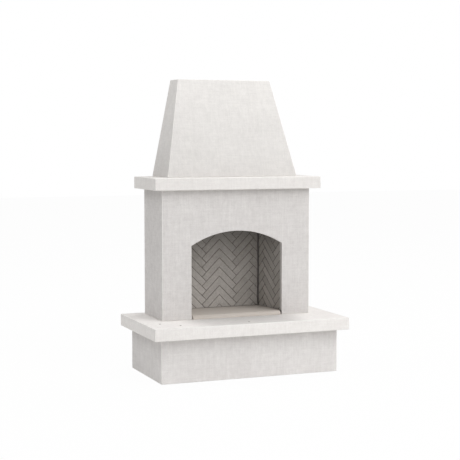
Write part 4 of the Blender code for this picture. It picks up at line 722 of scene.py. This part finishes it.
# %% [markdown]
# ## Gasket tape at the jambs
#
# The floor grows when it is hot, so it stops short of the jambs. A fibre tape, stuck to the foot of each
# jamb before the floor goes in, keeps embers out of that gap, and its colour is painted. The right one is
# dark: painted shade, the shadow deep in the gap at the end of the nose, seen from one side as a dark line.
# It is a cube made to size and rounded off, set just behind the jamb's arris. Its weave is too fine to
# show, so it is matt with faint specks. The left one is pale, painted light that makes its gap as pale as
# the concrete around it.

# %% Gasket tape
TAPE_THICKNESS, TAPE_SETBACK, TAPE_ROUND = 6 * MM, 3.2 * MM, 1.5 * MM
gap_shadow_tape = matt_fill("shadow_painted_glass_fibre_tape", "#5a5752", "#3e3b38", spot=3 * MM, roughness=0.95)
gap_light_tape = matt_fill("light_painted_glass_fibre_tape", "#cdc9c5", "#b8b4b0", spot=3 * MM, roughness=0.95)
body_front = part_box("arched_surround")[0].y

# the right tape's dark colour is painted shade, the left tape's pale colour painted light
for side, name, finish in ((-1, "left", gap_light_tape), (1, "right", gap_shadow_tape)):
    low = Vector((min(side * OPENING_HALF, side * (OPENING_HALF - TAPE_THICKNESS)),
                  body_front + TAPE_SETBACK, floor_low.z))
    high = low + Vector((TAPE_THICKNESS, WALL_BACK - low.y, floor_high.z - floor_low.z))
    tape = bmesh.new()
    bmesh.ops.create_cube(tape, size=1.0)
    bmesh.ops.scale(tape, vec=high - low, verts=tape.verts)
    bmesh.ops.translate(tape, vec=(low + high) / 2, verts=tape.verts)
    soften(tape, TAPE_ROUND, shortest=0.0)
    finish_piece(name + "_jamb_tape_painted_gap_tone", tape, [finish], [])

# %% [markdown]
# ## Screws and bolts
#
# The cover at the back and the hood are held by hexagon screws with a washer under the head. The shank
# and the washer are one turned shape: a profile from the axis out and back again, spun once round, with
# its ends merged. The hexagon is a cone with six sides and no taper, its top edge broken, joined on with
# the same helper that cut the pits. One function makes both kinds, because only the sizes differ.

# %% Screws and bolts
FASTENER_STEPS, WASHER_SHARE, HEX_SHARE, HEX_BREAK_SHARE, TIP_SHARE = 24, 0.3, 0.82, 0.06, 0.35
SCREW_SHANK, SCREW_HEAD = 0.12 * INCH, 0.12 * INCH
BOLT_SHANK, BOLT_HEAD = 0.25 * INCH, 0.3 * INCH


def hexagon_fastener(node, shank, head, turn):
    """A hexagon screw as long as its CAD node, its head at the far end of the turned Z axis."""
    low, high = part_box(node)
    axis = turn @ Vector((0, 0, 1))
    length = (high - low).dot(axis)
    radius = (high.x - low.x) / 2
    foot = (low + high) / 2 - axis * length / 2
    under, washer = length - head, length - head * (1 - WASHER_SHARE)
    profile = ((0, 0), (shank * (1 - TIP_SHARE), 0), (shank, shank * TIP_SHARE), (shank, under),
               (radius, under), (radius, washer), (0, washer))
    body = bmesh.new()
    points = [body.verts.new((out, 0, up)) for out, up in profile]
    edges = [body.edges.new(pair) for pair in zip(points, points[1:])]
    bmesh.ops.spin(body, geom=points + edges, axis=(0, 0, 1), cent=(0, 0, 0), steps=FASTENER_STEPS,
                   angle=2 * math.pi, use_merge=True, use_duplicate=False)
    bmesh.ops.remove_doubles(body, verts=body.verts, dist=WELD)
    bmesh.ops.recalc_face_normals(body, faces=body.faces)
    place = Matrix.Translation(foot) @ turn.to_4x4()
    bmesh.ops.transform(body, matrix=place, verts=body.verts)
    finish = FINISHES[node_slot[node]]
    piece = finish_piece(node + "_hexagon", body, [finish], [node])
    nut = bmesh.new()
    sunk = head * WASHER_SHARE / 2
    bmesh.ops.create_cone(nut, cap_ends=True, segments=6, radius1=radius * HEX_SHARE,
                          radius2=radius * HEX_SHARE, depth=length - washer + sunk,
                          matrix=place @ Matrix.Translation((0, 0, (length + washer - sunk) / 2)))
    soften(nut, radius * HEX_BREAK_SHARE, shortest=0.0)
    combine(piece, nut, finish, "UNION")


for number in range(1, 5):
    hexagon_fastener(f"rear_cover_screw_{number}", SCREW_SHANK, SCREW_HEAD,
                     Matrix.Rotation(-quarter, 3, "X"))
    hexagon_fastener(f"hood_bolt_{number}", BOLT_SHANK, BOLT_HEAD, Matrix.Identity(3))

# %% [markdown]
# ## The spark screen
#
# Round the head of the flue stand four panels of welded stainless mesh: upright wires on one side and
# level wires on the other, touching where they cross. A wire is a cone with eight sides and no taper, and
# two loops set them out in the CAD panel's box. So many wires may only have a few faces each.

# %% Weld the spark screen
MESH_PITCH, WIRE_SIDES = 0.5 * INCH, 8


def mesh_panel(node):
    """Two layers of wires that fill the box of the CAD panel."""
    low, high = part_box(node)
    middle, size = (low + high) / 2, high - low
    along = 0 if size.x > size.y else 1
    radius = size[1 - along] / 4 - WELD
    bm = bmesh.new()
    level_turn = Matrix.Rotation(quarter, 4, "Y" if along == 0 else "X")
    for run, other, layer, turn in ((along, 2, -1, Matrix.Identity(4)), (2, along, 1, level_turn)):
        count = max(1, round(size[run] / MESH_PITCH))
        for step in range(count + 1):
            spot = middle.copy()
            spot[run] = low[run] + radius + (size[run] - 2 * radius) * step / count
            spot[1 - along] += layer * size[1 - along] / 4
            bmesh.ops.create_cone(bm, cap_ends=True, segments=WIRE_SIDES, radius1=radius, radius2=radius,
                                  depth=size[other], matrix=Matrix.Translation(spot) @ turn)
    for face in bm.faces:
        face.smooth = len(face.verts) == 4
    finish_piece(node + "_mesh", bm, [FINISHES[node_slot[node]]], [node])


for side in ("front", "back", "left", "right"):
    mesh_panel("spark_screen_" + side)

# %% [markdown]
# ## Sheet metal and the damper
#
# Sheet steel has no knife edges either once it is cut and deburred, and a sand casting has softer ones
# still. These pieces take the same helper as the castings, with a finer bevel. The damper's plate and its
# arm ride on their own bodies, so they turn when the damper is opened.

# %% Soften sheet and damper
SMALL_EDGE, SHEET_ROUND = 4 * MM, 0.4 * MM
FRAME_ROUND, PLATE_ROUND, ARM_ROUND = 1.5 * MM, 1.0 * MM, 0.6 * MM
SMALL_PIECES = {"rain_cap": ("fireplace", SHEET_ROUND), "chimney_top_pan": ("fireplace", SHEET_ROUND),
                "storm_collar": ("fireplace", SHEET_ROUND), "damper_frame": ("fireplace", FRAME_ROUND),
                "damper_plate": ("damper_flap", PLATE_ROUND), "damper_arm": ("damper_arm", ARM_ROUND)}
for node, (body, width) in SMALL_PIECES.items():
    piece = welded_copy(node)
    soften(piece, width, shortest=SMALL_EDGE)
    finish_piece(node + "_softened", piece, [FINISHES[node_slot[node]]], [node], body)

# %% [markdown]
# ## Floor, background and light
#
# The object stands on a plain pale floor before a white background. What the camera sees of both is mostly
# a white of strength 1, mixed in by Light Path, so the paper-white ground costs no extra light on the
# object, and the part that is left of the real floor keeps a faint shadow at its foot. The light is soft:
# an even sky, one very large lamp high before the hearth and a little to the right, and two smaller ones
# behind, to the left and the right, which keep the side faces from going dull. The large lamp is taller
# than it is wide, so the shadows under the slab and the shelf end softly.

# %% Studio floor
FLOOR_SIZE, WHITE_SHARE, WHITE = 30.0, 0.97, (1, 1, 1, 1)
scene = bpy.context.scene
scene.view_settings.view_transform = "Standard"


def seen_by_camera(tree):
    """1 for light that reaches the camera straight or by way of something shiny, 0 for all other light."""
    path = add(tree, "ShaderNodeLightPath", {}).outputs
    return add(tree, "ShaderNodeMath", {0: path["Is Camera Ray"], 1: path["Is Glossy Ray"]},
               operation="MAXIMUM").outputs[0]


paper, tree, shader, _ = start_material("white_studio_floor", Roughness=0.9)
shader.inputs["Base Color"].default_value = srgb("#e9e9e8")
share = add(tree, "ShaderNodeMath", {0: seen_by_camera(tree), 1: WHITE_SHARE}, operation="MULTIPLY")
glow = add(tree, "ShaderNodeEmission", {"Color": WHITE, "Strength": 1.0})
both = add(tree, "ShaderNodeMixShader", {0: share.outputs[0], 1: shader.outputs[0], 2: glow.outputs[0]})
tree.links.new(both.outputs[0], tree.nodes["Material Output"].inputs["Surface"])

ground = bmesh.new()
bmesh.ops.create_grid(ground, x_segments=1, y_segments=1, size=FLOOR_SIZE)
mesh_object("studio_floor", ground, [paper])
print("floor", 2 * FLOOR_SIZE, "m wide")

# %% Sky
SKY_LEVEL = 0.40
world = bpy.data.worlds.new("studio_sky")
world.use_nodes = True
scene.world = world
tree = world.node_tree
backdrop = tree.nodes["Background"]
backdrop.inputs["Color"].default_value = WHITE
level = add(tree, "ShaderNodeMapRange", {"Value": seen_by_camera(tree), "To Min": SKY_LEVEL, "To Max": 1.0})
tree.links.new(level.outputs[0], backdrop.inputs["Strength"])
print("sky at", SKY_LEVEL)

# %% Lamps
MIDDLE, LAMP_DISTANCE = Vector((0, 0, 1.1)), 12.0


def soft_lamp(name, turn, height, size, watts):
    """A soft box that faces the object: so many degrees from the front to the right, and so many up."""
    light = bpy.data.lights.new(name, "AREA")
    light.energy = watts
    light.shape = "RECTANGLE"
    light.size, light.size_y = size
    lamp = bpy.data.objects.new(name, light)
    aim = Matrix.Rotation(math.radians(turn), 3, "Z") @ Matrix.Rotation(-math.radians(height), 3, "X")
    way = aim @ Vector((0, -1, 0))
    lamp.location = MIDDLE + LAMP_DISTANCE * way
    lamp.rotation_euler = (-way).to_track_quat("-Z", "Y").to_euler()
    scene.collection.objects.link(lamp)


soft_lamp("front_lamp", turn=28, height=42, size=(10.0, 12.0), watts=1020)
soft_lamp("back_left_lamp", turn=-112, height=48, size=(6.0, 6.0), watts=355)
soft_lamp("back_right_lamp", turn=120, height=52, size=(6.0, 6.0), watts=280)
